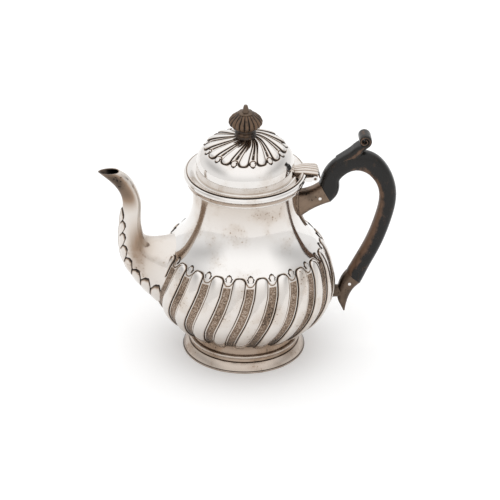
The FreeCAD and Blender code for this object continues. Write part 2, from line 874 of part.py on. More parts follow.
def make_hinge(axis_across, axis_up, lid_envelope):
    """Leaf, bracket, five knuckles and the pin, all about one axis along Y."""
    barrel = size["barrel_radius"]
    clear = size["hinge_clearance"]
    plate = size["leaf_plate"]
    under = mouth + clear
    curl = barrel + clear
    outer = curl + plate
    # The leaf runs level over the rim, then curls down over the barrel
    start_across = cosine(size["curl_start"])
    start_up = sine(size["curl_start"])
    end_across = cosine(size["curl_end"])
    end_up = sine(size["curl_end"])
    start = axis_across - size["hinge_out"] - size["leaf_reach"]
    rim = axis_across - size["hinge_out"]
    leaf = new_body("leaf_plate_blank")
    pad_outline(leaf, "leaf_plate_block", [
        (start, mouth - size["flange_drop"]),
        (seat_inner, under),
        (rim + clear, under),
        (axis_across + start_across * curl, axis_up + start_up * curl),
        (axis_across + end_across * curl, axis_up + end_up * curl, axis_across, axis_up),
        (axis_across + end_across * outer, axis_up + end_up * outer),
        (axis_across + start_across * outer, axis_up + start_up * outer, axis_across, axis_up),
        (rim, under + plate),
        (start, mouth + size["lid_edge"] + plate / 2.0),
    ], size["leaf_half_width"] * 2.0)
    keep(joined("Part::Cut", "hinge_lid_leaf", leaf, lid_envelope), "hinge_lid_leaf")

    bracket_top = axis_up + size["bracket_depth"] / 2.0
    bracket_bottom = axis_up - size["bracket_depth"] / 2.0
    bracket = new_body("bracket_blank")
    pad_outline(bracket, "bracket_block", [
        (neck_radius_at(shell_top, gap), bracket_bottom),
        (axis_across - curl, bracket_bottom),
        (axis_across - curl, bracket_top),
        (neck_radius_at(shell_top, gap), bracket_top),
    ], size["bracket_half_width"] * 2.0)
    rim_core = turned("rim_envelope", [
        (as_size(0), bezel_bottom),
        (rim_radius + gap, bezel_bottom),
        (rim_radius + gap, mouth),
        (as_size(0), mouth),
    ])
    keep(joined("Part::Cut", "hinge_body_bracket", bracket, rim_core), "hinge_body_bracket")

    pitch = size["barrel_length"] / 5.0
    length = pitch - size["knuckle_gap"]
    knuckles = {"hinge_body_knuckles": (-2, 0, 2), "hinge_lid_knuckles": (-1, 1)}
    for label, places in knuckles.items():
        tubes = []
        on_lid = label == "hinge_lid_knuckles"
        for place in places:
            middle = pitch * float(place)
            name = f"{label}_{place + 2}"
            tubes.append(make_knuckle(name, axis_across, axis_up, middle, length, on_lid))
        group = doc.addObject("Part::Compound", label)
        group.Links = tubes
        keep(group, label)

    pin = new_body("hinge_pin")
    sketch = new_sketch(pin, "hinge_pin_outline")
    draw_circle(sketch, axis_across, axis_up, size["hinge_pin_radius"])
    pad_sketch(pin, "hinge_pin_wire", sketch, size["barrel_length"])
    keep(pin, "hinge_pin")


def make_knuckle(label, axis_across, axis_up, middle, length, on_lid):
    """One joint tube with the lug that ties it to the leaf or to the bracket."""
    barrel = size["barrel_radius"]
    reach = barrel + size["hinge_clearance"] - gap
    half = size["lug_width"] / 2.0
    body = new_body(label)
    sketch = new_sketch(body, label + "_tube_outline")
    draw_circle(sketch, axis_across, axis_up, barrel)
    pad_sketch(body, label + "_tube", sketch, length)
    if on_lid:
        lug = [
            (axis_across - half, axis_up),
            (axis_across + half, axis_up),
            (axis_across + half, axis_up + root(reach * reach - half * half)),
            (axis_across - half, axis_up + root(reach * reach - half * half), axis_across, axis_up),
        ]
    else:
        lug = [
            (axis_across, axis_up - half),
            (axis_across, axis_up + half),
            (axis_across - reach, axis_up + half),
            (axis_across - reach, axis_up - half),
        ]
    pad_outline(body, label + "_lug", lug, length)
    bore = size["hinge_pin_radius"] + size["pin_clearance"]
    drill_across(body, label + "_bore", axis_across, axis_up, bore)
    body.Placement = Placement(Vector(0, middle.number, 0), Rotation())
    body.setExpression(".Placement.Base.y", middle.formula)
    return body


# Finial


def make_finial():
    """Collar, knob, rosette, bolt, washer and nut, stacked on the lid's axis."""
    collar = size["finial_collar_radius"]
    collar_top = crown_top + size["finial_collar_rise"]
    bead = size["finial_collar_rise"] / 2.0
    top_radius = size["finial_collar_top"]
    keep(turned("finial_collar", [
        (bolt_hole, crown_at(bolt_hole, gap), as_size(0), crown_centre),
        (bolt_hole, collar_top),
        (top_radius, collar_top),
        (collar, crown_top + bead),
        (collar, crown_at(collar, gap)),
    ]), "finial_collar")

    knob = size["knob_radius"]
    waist = collar_top + size["knob_waist_rise"]
    knob_top = collar_top + size["knob_rise"]
    cap = size["knob_top_radius"]
    foot = (top_radius, collar_top + gap)
    belly = (knob, waist)
    crown = (cap, knob_top)
    keep(turned("finial_knob", [
        (bolt_hole, collar_top + gap),
        foot,
        belly + bulge_centre(foot, belly, size["knob_lower_arc"]),
        crown + bulge_centre(belly, crown, size["knob_upper_arc"]),
        (bolt_hole, knob_top),
    ]), "finial_knob")

    petal = size["petal_radius"]
    petal_top = knob_top + size["petal_thickness"]
    keep(turned("finial_petal_washer", [
        (bolt_hole, knob_top),
        (petal, knob_top),
        (bolt_hole + size["petal_thickness"], petal_top),
        (bolt_hole, petal_top),
    ]), "finial_petal_washer")

    washer_top = crown_at(size["washer_radius"], -lid_wall)
    washer_bottom = washer_top - size["washer_thickness"]
    nut_bottom = washer_bottom - size["nut_thickness"]
    tip_top = petal_top + size["tip_rise"]
    shank = size["bolt_radius"]
    keep(turned("finial_bolt", [
        (as_size(0), nut_bottom - size["bolt_end"]),
        (shank, nut_bottom - size["bolt_end"]),
        (shank, petal_top),
        (size["tip_radius"], petal_top),
        (size["tip_top_radius"], tip_top),
        (as_size(0), tip_top),
    ]), "finial_bolt")
    keep(turned("finial_washer", [
        (bolt_hole, washer_bottom),
        (size["washer_radius"], washer_bottom),
        (size["washer_radius"], washer_top),
        (bolt_hole, washer_top),
    ]), "finial_washer")
    make_nut(washer_bottom, bolt_hole)


def make_nut(top, hole):
    """A six-sided nut on the end of the bolt."""
    body = new_body("finial_nut")
    sketch = new_sketch(body, "finial_nut_outline", "XY_Plane")
    reach = size["nut_width"] / math.sqrt(3.0)
    sides = [math.radians(60 * step) for step in range(6)]
    draw_outline(sketch, [(reach * math.cos(turn), reach * math.sin(turn)) for turn in sides])
    draw_circle(sketch, as_size(0), as_size(0), hole)
    nut = pad_sketch(body, "finial_nut_block", sketch, size["nut_thickness"], symmetric=False)
    nut.Reversed = True
    body.Placement = Placement(Vector(0, 0, top.number), Rotation())
    body.setExpression(".Placement.Base.z", top.formula)
    keep(body, "finial_nut")


def check_document():
    """Stop if any object failed or any piece has no sound shape."""
    for item in doc.Objects:
        if "Invalid" in item.State or "Error" in item.State:
            raise RuntimeError(f"{item.Label} failed: {item.State}")
    for piece in pieces:
        if piece.Shape.isNull() or not piece.Shape.isValid() or not piece.Shape.Solids:
            raise RuntimeError(f"{piece.Label} has no sound solid")


def main():
    """Build every piece, check the document and write one file for each piece."""
    hinge_across = rim_radius + size["hinge_out"]
    hinge_up = mouth - size["hinge_drop"]
    envelope = body_envelope("body_envelope", gap)
    make_body_shell()
    make_mouth_rim()
    make_foot()
    make_spout(envelope)
    make_handle(envelope)
    lid_envelope = make_lid()
    make_hinge(hinge_across, hinge_up, lid_envelope)
    make_finial()
    doc.recompute()
    check_document()
    os.makedirs("parts", exist_ok=True)
    for piece in pieces:
        piece.Shape.exportStep(f"parts/{piece.Label}.step")
        print(f"{piece.Label}: {piece.Shape.Volume:.1f} mm3, {len(piece.Shape.Solids)} solid(s)")


main()
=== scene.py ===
# %% [markdown]
# # A silver teapot with a lobed belly
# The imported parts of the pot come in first. They are the fixed frame: every surface made
# below sits where its part sits, in the same axes. The spout points along -X, the handle
# along +X and the body's axis is Z. Shapes are worked out in millimetres, because a
# silversmith's sizes read best that way, and one factor turns them into Blender's metres.

# %% Load the frame
import json
import math

import bmesh
import bpy
import numpy as np
from mathutils import Matrix

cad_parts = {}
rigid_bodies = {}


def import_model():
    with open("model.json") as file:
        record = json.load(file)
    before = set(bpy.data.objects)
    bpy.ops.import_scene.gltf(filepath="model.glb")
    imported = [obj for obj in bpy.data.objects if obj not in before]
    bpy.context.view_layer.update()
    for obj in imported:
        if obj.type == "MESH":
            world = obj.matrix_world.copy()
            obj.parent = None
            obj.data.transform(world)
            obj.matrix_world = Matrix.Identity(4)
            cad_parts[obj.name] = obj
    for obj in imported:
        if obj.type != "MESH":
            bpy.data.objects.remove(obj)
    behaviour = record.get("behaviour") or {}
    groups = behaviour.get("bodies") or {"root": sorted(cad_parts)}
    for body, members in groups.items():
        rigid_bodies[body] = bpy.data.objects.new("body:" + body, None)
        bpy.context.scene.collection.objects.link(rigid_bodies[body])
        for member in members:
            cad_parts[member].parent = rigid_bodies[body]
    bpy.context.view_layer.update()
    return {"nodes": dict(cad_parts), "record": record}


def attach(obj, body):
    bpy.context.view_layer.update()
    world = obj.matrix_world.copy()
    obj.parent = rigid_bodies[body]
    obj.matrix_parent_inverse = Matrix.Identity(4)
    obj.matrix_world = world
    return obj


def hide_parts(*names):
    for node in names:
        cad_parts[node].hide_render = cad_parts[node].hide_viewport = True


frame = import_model()
MM = 0.001
FULL_TURN = 2 * np.pi
print("parts in the frame:", len(frame["nodes"]))

# %% [markdown]
# ## Lines and skins
# Almost every piece here is a skin over a grid: rows run along the piece and columns run
# round it. A smooth line through a few measured points gives the rows. It could be drawn as
# a Blender curve and bevelled, but a grid of our own lets the chasing follow the metal.


# %% A smooth line through points
def smooth_line(knots, values, at):
    """Natural cubic spline: between two knots the line is a cubic, its bend is the same on
    both sides of each knot, and it has no bend at the two ends."""
    gap = np.diff(knots)
    slope = np.diff(values, axis=0) / gap[:, None]
    system = np.diag(np.r_[1.0, 2 * (gap[:-1] + gap[1:]), 1.0])
    system += np.diag(np.r_[0.0, gap[1:]], 1) + np.diag(np.r_[gap[:-1], 0.0], -1)
    still = np.zeros((1, values.shape[1]))
    bend = np.linalg.solve(system, np.vstack([still, 6 * np.diff(slope, axis=0), still]))
    k = np.clip(np.searchsorted(knots, at, side="right") - 1, 0, len(gap) - 1)
    step = (at - knots[k])[:, None]
    width = gap[k][:, None]
    first = slope[k] - width * (2 * bend[k] + bend[k + 1]) / 6
    curve = bend[k] / 2 + step * (bend[k + 1] - bend[k]) / (6 * width)
    return values[k] + step * (first + step * curve)


def run_lengths(points):
    """Distance along a line of points, counted from its first point."""
    return np.r_[0.0, np.cumsum(np.linalg.norm(np.diff(points, axis=0), axis=1))]


def even_line(points, count):
    """The smooth line through points, cut into equal steps."""
    points = np.asarray(points, float)
    lengths = run_lengths(points)
    return smooth_line(lengths, points, np.linspace(0, lengths[-1], count))


def ease(value, low, high):
    """0 below low, 1 above high, and a soft S between them."""
    share = np.clip((value - low) / (high - low), 0, 1)
    return share * share * (3 - 2 * share)


def turned_points(radius, angle, level):
    """Points at a radius, an angle round Z and a height."""
    radius, angle, level = np.broadcast_arrays(radius, angle, level)
    return np.stack([radius * np.cos(angle), radius * np.sin(angle), level], -1)


print("a quarter of the way, eased:", ease(0.25, 0.0, 1.0))


# %% From a grid of points to a piece
def grid_cells(rows, columns, ring, loop):
    """Corner numbers of each cell. ring joins the last column to the first one, and loop
    joins the last row to the first one."""
    i, j = np.meshgrid(np.arange(rows - (not loop)), np.arange(columns - (not ring)), indexing="ij")
    below = (i + 1) % rows
    beside = (j + 1) % columns
    corners = [i * columns + j, i * columns + beside, below * columns + beside, below * columns + j]
    return np.stack(corners, -1).reshape(-1, 4)


def end_fans(count, rows, columns):
    """Triangles that close the first and last row of each grid with a fan about a pole. The
    poles are numbered after all the points of all the grids."""
    size = rows * columns
    turn = np.arange(columns)
    after = (turn + 1) % columns
    fans = []
    for copy in range(count):
        first = copy * size
        last = first + size - columns
        pole = count * size + 2 * copy
        fans += np.stack([np.full(columns, pole), first + after, first + turn], -1).tolist()
        fans += np.stack([np.full(columns, pole + 1), last + turn, last + after], -1).tolist()
    return fans


def in_one_list(values, poles_too):
    """The values of all the points in one list, then those of the poles. A pole has the mean
    of the row that it closes."""
    form = values.shape[3:]
    listed = values.reshape(-1, *form)
    if not poles_too:
        return listed
    poles = np.stack([values[:, 0].mean(1), values[:, -1].mean(1)], 1)
    return np.concatenate([listed, poles.reshape(-1, *form)])


def skin(name, points, loop=False, crease=40, marks=None):
    """A closed mesh over one grid, or over a stack of equal grids, of points in millimetres.
    Either the last row joins the first one in a loop, or a fan closes each of the two.
    crease is the angle that stays sharp. marks are named values for each point, which the
    finishes read."""
    grids = points if points.ndim == 4 else points[None]
    count, rows, columns = grids.shape[:3]
    starts = np.arange(count)[:, None, None] * rows * columns
    faces = (grid_cells(rows, columns, True, loop)[None] + starts).reshape(-1, 4).tolist()
    if not loop:
        faces += end_fans(count, rows, columns)
    mesh = bpy.data.meshes.new(name)
    mesh.from_pydata((in_one_list(grids, not loop) * MM).tolist(), [], faces)
    for key, mark in (marks or {}).items():
        block = np.asarray(mark, float).reshape(count, rows, columns)
        values = in_one_list(block, not loop).astype(np.float32)
        mesh.attributes.new(key, "FLOAT", "POINT").data.foreach_set("value", values)
    form = bmesh.new()
    form.from_mesh(mesh)
    bmesh.ops.recalc_face_normals(form, faces=form.faces)
    form.to_mesh(mesh)
    form.free()
    mesh.shade_smooth()
    mesh.set_sharp_from_angle(angle=math.radians(crease))
    piece = bpy.data.objects.new(name, mesh)
    bpy.context.scene.collection.objects.link(piece)
    return piece


def dress(piece, body, slot, finish, *nodes):
    """The piece takes its finish, rides on its body and stands for the parts it covers."""
    piece.data.materials.append(finish)
    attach(piece, body)
    if nodes:
        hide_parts(*nodes)
    print(piece.name, "faces:", len(piece.data.polygons))


print("cells in a ring of 3 rows and 8 columns:", len(grid_cells(3, 8, True, False)))

# %% [markdown]
# ## Finishes
# Silver is a mirror, so most of its look is what stands round it. What the finish itself adds
# is age: brown sulphide lies in the grooves and the wiped faces are bright. Each silver piece
# carries two marks on its points, tone for that brown and matte for stippled ground, and a
# soft noise breaks both up. On the body, the spout and the lid's edge the tone mark also holds
# painted shade. Painting an image would be another way, but then it would need unwrapping.


# %% Small helpers for shader nodes
def new_finish(name):
    """An empty node material with its shader and output joined up."""
    finish = bpy.data.materials.new(name)
    finish.use_nodes = True
    tree = finish.node_tree
    tree.nodes.clear()
    shader = node(tree, "BsdfPrincipled")
    node(tree, "OutputMaterial", {"Surface": shader.outputs[0]})
    return finish, tree, shader


def feed(tree, made, inputs):
    """Give sockets of a node their number or colour, or join them to the socket that feeds them."""
    for key, value in inputs.items():
        if isinstance(value, bpy.types.NodeSocket):
            tree.links.new(value, made.inputs[key])
        else:
            made.inputs[key].default_value = value


def node(tree, kind, inputs=None, **settings):
    """One new shader node with its settings and inputs."""
    made = tree.nodes.new("ShaderNode" + kind)
    for key, value in settings.items():
        setattr(made, key, value)
    feed(tree, made, inputs or {})
    return made


def maths(tree, operation, *values):
    """A Math node of one operation."""
    made = node(tree, "Math", dict(enumerate(values)), operation=operation)
    return made.outputs[0]


def total(tree, value, *others):
    """The sum of several values."""
    for other in others:
        value = maths(tree, "ADD", value, other)
    return value


def times(tree, value, *others):
    """The product of several values."""
    for other in others:
        value = maths(tree, "MULTIPLY", value, other)
    return value


def mark_of(tree, name):
    """The mark of that name on the piece's points."""
    return node(tree, "Attribute", attribute_name=name).outputs["Fac"]


def noise(tree, scale, detail=3.0, stretch=(1, 1, 1)):
    """Noise on the piece's own axes. scale counts its lumps in one metre."""
    place = node(tree, "TexCoord").outputs["Object"]
    drawn_out = node(tree, "Mapping", {"Vector": place, "Scale": stretch}).outputs[0]
    lumps = node(tree, "TexNoise", {"Vector": drawn_out, "Scale": scale, "Detail": detail})
    return lumps.outputs[0]


def spread(tree, value, low, high, start=0.0, end=1.0):
    """The value stretched so that low becomes start and high becomes end."""
    sockets = {"Value": value, "From Min": low, "From Max": high, "To Min": start, "To Max": end}
    return node(tree, "MapRange", sockets, interpolation_type="SMOOTHSTEP").outputs[0]


def ramp(tree, value, stops):
    """Colours along a value, from (place, (red, green, blue)) stops."""
    made = node(tree, "ValToRGB", {"Fac": value})
    stripe = made.color_ramp
    while len(stripe.elements) < len(stops):
        stripe.elements.new(0.5)
    for element, (place, colour) in zip(stripe.elements, stops):
        element.position = place
        element.color = (*colour, 1)
    return made.outputs[0]


print("helpers for finishes are ready")

# %% Aged silver
BRIGHT_SILVER = (0.80, 0.785, 0.77)
WARM_SILVER = (0.60, 0.54, 0.485)
BROWN_TARNISH = (0.30, 0.215, 0.155)
BLACK_TARNISH = (0.035, 0.028, 0.024)
SILVER_AGES = [(0.0, BRIGHT_SILVER), (0.28, WARM_SILVER), (0.6, BROWN_TARNISH), (1.0, BLACK_TARNISH)]
CLOUDS_IN_METRE = 55
SPECKS_IN_METRE = 700
GRAINS_IN_METRE = 1100
PITS_IN_METRE = 1300
DENTS_IN_METRE = 60
PATCH_BROWN = 0.5
HAZE_BROWN = 0.16
GRAIN_BROWN = 0.2
MATTE_ROUGHNESS = 0.30
BROWN_ROUGHNESS = 0.22
PIT_DEPTH = 0.5
DENT_DEPTH = 0.35
SILVER_BUMP = {"Strength": 0.35, "Distance": 0.0006}


def silver(name, age, gloss=0.07):
    """Polished silver. Its brown is the sum of the mark called tone, of age, of specks in
    cloudy patches, of a thin haze, and of grain where the mark called matte is set. Brown
    and matte metal is rougher. gloss is the roughness of a clean face."""
    finish, tree, shader = new_finish(name)
    matte = mark_of(tree, "matte")
    clouds = spread(tree, noise(tree, CLOUDS_IN_METRE, 5), 0.46, 0.74)
    specks = spread(tree, noise(tree, SPECKS_IN_METRE, 3), 0.58, 0.72)
    grain = spread(tree, noise(tree, GRAINS_IN_METRE, 3), 0.35, 0.65, -GRAIN_BROWN, GRAIN_BROWN)
    patches = times(tree, clouds, specks, PATCH_BROWN)
    haze = times(tree, clouds, HAZE_BROWN)
    stipple = times(tree, grain, matte)
    brown = total(tree, mark_of(tree, "tone"), age, patches, haze, stipple)
    dull = total(tree, times(tree, matte, MATTE_ROUGHNESS), times(tree, brown, BROWN_ROUGHNESS))
    pits = times(tree, noise(tree, PITS_IN_METRE, 2), matte, PIT_DEPTH)
    dents = times(tree, noise(tree, DENTS_IN_METRE, 1), DENT_DEPTH)
    bump = node(tree, "Bump", {"Height": total(tree, pits, dents), **SILVER_BUMP})
    feed(tree, shader, {
        "Base Color": ramp(tree, brown, SILVER_AGES),
        "Metallic": 1.0,
        "Roughness": total(tree, dull, gloss),
        "Normal": bump.outputs[0],
    })
    return finish


polished_silver = silver("polished_silver", 0.04)
toned_silver = silver("toned_silver", 0.38, 0.12)
dark_silver = silver("dark_silver", 0.72, 0.2)
fitting_silver = silver("fitting_silver", 0.84, 0.18)
print("silver finishes:", polished_silver.name, toned_silver.name, dark_silver.name, fitting_silver.name)

# %% [markdown]
# The handle is wood stained black, with the stain rubbed off where fingers hold it, and the
# knob is brown wood. One colour with gloss would look like plastic. So the bare wood shows
# through the stain along a ragged edge. Grain runs along the handle, so its noise is drawn
# out along Z.

# %% Stained wood
STREAKS_IN_METRE = 420
SCUFFS_IN_METRE = 160
ALONG_THE_GRAIN = (1, 1, 0.22)
RUB_SHARE = 0.8
SCUFF_SHARE = 1.4
STAIN_HOLD = 1.2
HALF_RUBBED = 0.45
BARE_ROUGHNESS = 0.2
WOOD_SHINE = 0.3
WOOD_BUMP = {"Strength": 0.25, "Distance": 0.0005}


def wood(name, stain, bare, bareness, gloss):
    """Stained wood. The mark called worn, bareness, streaks and scuffs are added up, and what
    is more than the stain can hold shows the bare wood, which is also rougher."""
    finish, tree, shader = new_finish(name)
    streaks = noise(tree, STREAKS_IN_METRE, 6, ALONG_THE_GRAIN)
    scuffs = times(tree, noise(tree, SCUFFS_IN_METRE, 4), SCUFF_SHARE)
    worn = times(tree, mark_of(tree, "worn"), RUB_SHARE)
    rubbed = spread(tree, total(tree, worn, streaks, scuffs, bareness - STAIN_HOLD), 0.18, 0.85)
    deep = tuple(HALF_RUBBED * share for share in bare)
    colours = [(0.0, stain), (HALF_RUBBED, deep), (1.0, bare)]
    bump = node(tree, "Bump", {"Height": streaks, **WOOD_BUMP})
    feed(tree, shader, {
        "Base Color": ramp(tree, rubbed, colours),
        "Roughness": spread(tree, rubbed, 0, 1, gloss, gloss + BARE_ROUGHNESS),
        "Specular IOR Level": WOOD_SHINE,
        "Normal": bump.outputs[0],
    })
    return finish


black_wood = wood("black_wood", (0.008, 0.007, 0.006), (0.125, 0.07, 0.042), 0.04, 0.26)
brown_wood = wood("brown_wood", (0.018, 0.011, 0.007), (0.13, 0.078, 0.046), 0.36, 0.32)
print("wood finishes:", black_wood.name, brown_wood.name)

# %% [markdown]
# ## The body
# The body is raised from one sheet. Its outline is a swelling belly under a hollow neck. Over
# the belly run twenty-two swirled lobes with rounded tops, and between them sunk bands of
# stippled ground. A bump map would give the shading, but not the scalloped outline that the
# lobes cut against the light, so they are real relief: the grid's columns follow the swirl,
# crowd together at the chased lines, and move in and out along the surface's normal.

# %% The outline of the body
LOWER_BELLY = [
    (34.0, 17.9), (39.8, 18.7), (44.6, 20.9), (49.8, 24.4),
    (54.0, 28.4), (57.3, 32.4), (60.0, 36.7), (62.6, 42.4),
]
BELLY_CENTRE = (13.0, 50.0)
BELLY_ARC = 51.0
NECK_CENTRE = (82.97, 118.0)
NECK_ARC = 46.57
JOIN_ANGLE = 44.18
SHELL_TOP = 135.5


def arc_points(centre, radius, start, end, count):
    """Points on a circle's arc between two angles in degrees."""
    turn = np.radians(np.linspace(start, end, count))
    return np.stack([centre[0] + radius * np.cos(turn), centre[1] + radius * np.sin(turn)], -1)


class Outline:
    """A turned outline: radius, height and outward normal at each distance along it."""

    NUDGE = 0.01
    FINE_STEPS = 2000

    def __init__(self, points, outward=1):
        self.points = points
        self.outward = outward
        self.knots = run_lengths(self.points)
        self.length = self.knots[-1]

    def at(self, distance):
        """Place and normal. The normal is the way to a point a nudge ahead, given a quarter
        turn. outward says to which side."""
        flat = distance.ravel()
        place = smooth_line(self.knots, self.points, flat)
        ahead = smooth_line(self.knots, self.points, flat + self.NUDGE) - place
        ahead /= np.linalg.norm(ahead, axis=1)[:, None]
        normal = self.outward * np.stack([ahead[:, 1], -ahead[:, 0]], -1)
        return place.reshape(*distance.shape, 2), normal.reshape(*distance.shape, 2)

    def distance_at_height(self, height):
        """Distance along the outline at a height, read off fine steps along it."""
        steps = np.linspace(0, self.length, self.FINE_STEPS)
        heights = smooth_line(self.knots, self.points, steps)[:, 1]
        order = np.argsort(heights)
        return float(np.interp(height, heights[order], steps[order]))


top_angle = 180 - math.degrees(math.asin((SHELL_TOP - NECK_CENTRE[1]) / NECK_ARC))
body_line = Outline(np.vstack([
    LOWER_BELLY,
    arc_points(BELLY_CENTRE, BELLY_ARC, 0, JOIN_ANGLE, 6),
    arc_points(NECK_CENTRE, NECK_ARC, 180 + JOIN_ANGLE, top_angle, 9)[1:],
]))
print("outline of the body, mm:", round(body_line.length, 1))

# %% [markdown]
# The relief is one formula, used for the belly and again for the crown of the lid. Across a
# lobe the section is a shallow round. Beyond its edge come a chased line, a plain border, and
# the sunk band. Over the tops runs a scalloped line that dips between two lobes. The lobes
# could be cut with booleans, but then no point would know how far it is from a chased line,
# and that distance is what the brown in the grooves is made from.

# %% Chased lobes
GROOVE_DEPTH = 0.25
SCALLOP_DEPTH = 0.22
BAND_LINE_DEPTH = 0.12
SCALLOP_TONE = 0.95
BAND_TONE = 0.47
BAND_LINE_TONE = 0.6


class Lobes:
    """A ring of chased lobes with bands between them. lobe, the half width of a lobe, and
    border are shares of the pitch from lobe to lobe, and the other sizes are millimetres."""

    STEEP = 1.6
    SHIFT = 0.35

    def __init__(self, count, lobe, border, swell, band_depth, rise, top_border, band_end, line):
        self.count = count
        self.lobe = lobe
        self.border = border
        self.swell = swell
        self.band_depth = band_depth
        self.rise = rise
        self.top_border = top_border
        self.band_end = band_end
        self.line = line

    def scallop(self, phase):
        """Height of the scalloped line over its dips, and its slope: a cosine of the phase,
        shifted up and steepened by a tanh, so that its tops are broad."""
        low = np.tanh(self.STEEP * (self.SHIFT - 1))
        high = np.tanh(self.STEEP * (self.SHIFT + 1))
        wave = np.tanh(self.STEEP * (np.cos(FULL_TURN * phase) + self.SHIFT))
        slope = -self.STEEP * (1 - wave ** 2) * FULL_TURN * np.sin(FULL_TURN * phase)
        return self.rise * (wave - low) / (high - low), self.rise * slope / (high - low)

    def relief(self, phase, along, pitch):
        """Height, tone and matte at a phase across (0 on a lobe, 0.5 on a band) and a distance
        along, counted from the dips of the scalloped line. A lobe is a strip with a round end
        and an elliptic section. Each chased line is a bell curve of the distance from it, and
        the band sinks in a soft S inside its border."""
        across = np.abs(phase) * pitch
        half = self.lobe * pitch
        centre = self.rise - self.top_border - half
        edge = np.where(along < centre, across, np.hypot(across, along - centre)) - half
        top, slope = self.scallop(phase)
        over = (along - top) / np.sqrt(1 + (slope / pitch) ** 2)
        below = ease(-over, 0.0, 0.4)
        outwards = np.clip(1 + edge / half, 0, 2)
        ellipse = np.sqrt(np.clip(1 - 0.9 * outwards ** 2, 0, 1))
        lobe_height = np.where(edge < 0, ellipse, 0) * self.swell
        groove = np.exp(-(edge / self.line) ** 2) * below
        scallop_line = np.exp(-(over / self.line) ** 2)
        side = across - half - self.border * pitch
        inside = np.minimum(side, -self.band_end - along)
        band = ease(inside, 0.0, 0.5)
        band_line = np.exp(-((inside - 0.1) / (0.7 * self.line)) ** 2) * below
        cut = GROOVE_DEPTH * groove + SCALLOP_DEPTH * scallop_line + BAND_LINE_DEPTH * band_line
        height = lobe_height - self.band_depth * band - cut
        tone = groove + SCALLOP_TONE * scallop_line + BAND_TONE * band + BAND_LINE_TONE * band_line
        return height, np.clip(tone, 0, 1), band


QUARTER = 0.25
HALF_COLUMNS = [
    0.0, 0.05, 0.10, 0.15, 0.19, 0.213, 0.232, 0.245,
    0.258, 0.272, 0.295, 0.318, 0.333, 0.348, 0.40, 0.45,
]


def lobe_columns(count, lobe):
    """Phase and angle of each column round a ring. The list has them for a lobe whose edge
    lies at a quarter, crowded at the chased lines. Here that edge is moved to the lobe's
    own, by stretching what lies on each side of it."""
    half = np.array(HALF_COLUMNS)
    on_lobe = half * lobe / QUARTER
    beside = 0.5 - (0.5 - half) * (0.5 - lobe) / QUARTER
    half = np.where(half < QUARTER, on_lobe, beside)
    one_pitch = np.r_[half, 0.5, -half[:0:-1]]
    phase = np.tile(one_pitch, count)
    whole = np.repeat(np.arange(count), len(one_pitch)) + np.where(phase < 0, 1.0, 0.0)
    return phase, (whole + phase) / count * FULL_TURN


print("columns for each lobe:", 2 * len(HALF_COLUMNS))

# %% Rows and columns of the body
body_lobes = Lobes(
    count=22, lobe=0.27, border=0.075, swell=1.5, band_depth=0.45,
    rise=6.2, top_border=0.15, band_end=1.4, line=0.32,
)
BUD_ANGLE = -90.0
SCALLOP_DIP = 77.2
FINE_FROM = 70.0
FINE_TO = 87.0
SWIRL_HEIGHTS = [16.0, 20.0, 30.0, 40.0, 50.0, 60.0, 70.0, 80.0, 90.0, 136.0]
SWIRL_DEGREES = [-18.0, -17.2, -14.8, -11.6, -7.8, -4.4, -1.6, -0.1, 0.0, 0.0]


def body_turn(height):
    """Angle by which the lobes have swirled at a height, in radians."""
    return np.radians(np.interp(height, SWIRL_HEIGHTS, SWIRL_DEGREES))


phase, ring_angle = lobe_columns(body_lobes.count, body_lobes.lobe)
lobe_angle = math.radians(BUD_ANGLE) + math.pi / body_lobes.count + ring_angle[None]
dip = body_line.distance_at_height(SCALLOP_DIP)
fine_from = body_line.distance_at_height(FINE_FROM)
fine_to = body_line.distance_at_height(FINE_TO)
rows = np.r_[
    np.linspace(0, fine_from, 48)[:-1],
    np.linspace(fine_from, fine_to, 50)[:-1],
    np.linspace(fine_to, body_line.length, 18),
]
print("rows and columns of the body:", len(rows), len(phase))

# %% The lobed body
WALL = 1.2
BAND_LINING = 1.9
INSIDE_ROWS = 14
INSIDE_TONE = 0.2
INSIDE_MATTE = 0.3
place, normal = body_line.at(rows)
pitch = FULL_TURN * place[:, :1] / body_lobes.count
height, tone, matte = body_lobes.relief(phase[None], (rows - dip)[:, None], pitch)
row_height = place[:, 1:]
# The relief fades out at the foot, and sinks until the tops of the lobes lie on the outline.
fade = ease(row_height, 17.9, 21.5)
sunk = body_lobes.swell * ease(dip - rows, -4.0, 16.0)[:, None]
height = height * fade - sunk
# Partly brown tarnish and partly painted shade: darker near the foot and up the neck, and thinly darker on
# all the lobes.
tarnish_and_shade_near_foot = 0.24 * (1 - ease(row_height, 18, 46))
tarnish_and_shade_on_lobes = 0.12 * (1 - ease(row_height, 74, 84))
tarnish_and_shade_on_neck = 0.22 * ease(row_height, 92, 132)
tone = np.clip(tone * fade + tarnish_and_shade_near_foot + tarnish_and_shade_on_lobes + tarnish_and_shade_on_neck, 0, 1)
radius = place[:, :1] + normal[:, :1] * height
level = place[:, 1:] + normal[:, 1:] * height
outer_points = turned_points(radius, lobe_angle + body_turn(row_height), level)
# The inside is a plain skin, set further back where the bands are sunk.
inner_place, inner_normal = body_line.at(np.linspace(body_line.length, 0, INSIDE_ROWS))
lining = WALL + BAND_LINING * (1 - ease(inner_place[:, 1:], 80, 92))
inner = inner_place - lining * inner_normal
inner_points = turned_points(inner[:, :1], lobe_angle, inner[:, 1:])
inside = np.ones(inner_points.shape[:2])
body_marks = {
    "tone": np.vstack([tone, INSIDE_TONE * inside]),
    "matte": np.vstack([matte * fade, INSIDE_MATTE * inside]),
}
body_shell = skin("lobed_body", np.vstack([outer_points, inner_points]), marks=body_marks)
dress(body_shell, "pot", "polished_silver", polished_silver, "body_shell")

# %% [markdown]
# A small pointed bud stands in each dip between the lobes, with a dark line round it. The bud
# is a leaf whose edge swells three times. It could be one object with an array modifier, but
# the outline under it is curved, so all the buds are one mesh: one grid of points laid on
# the outline, and copied to each dip by a change of angle.

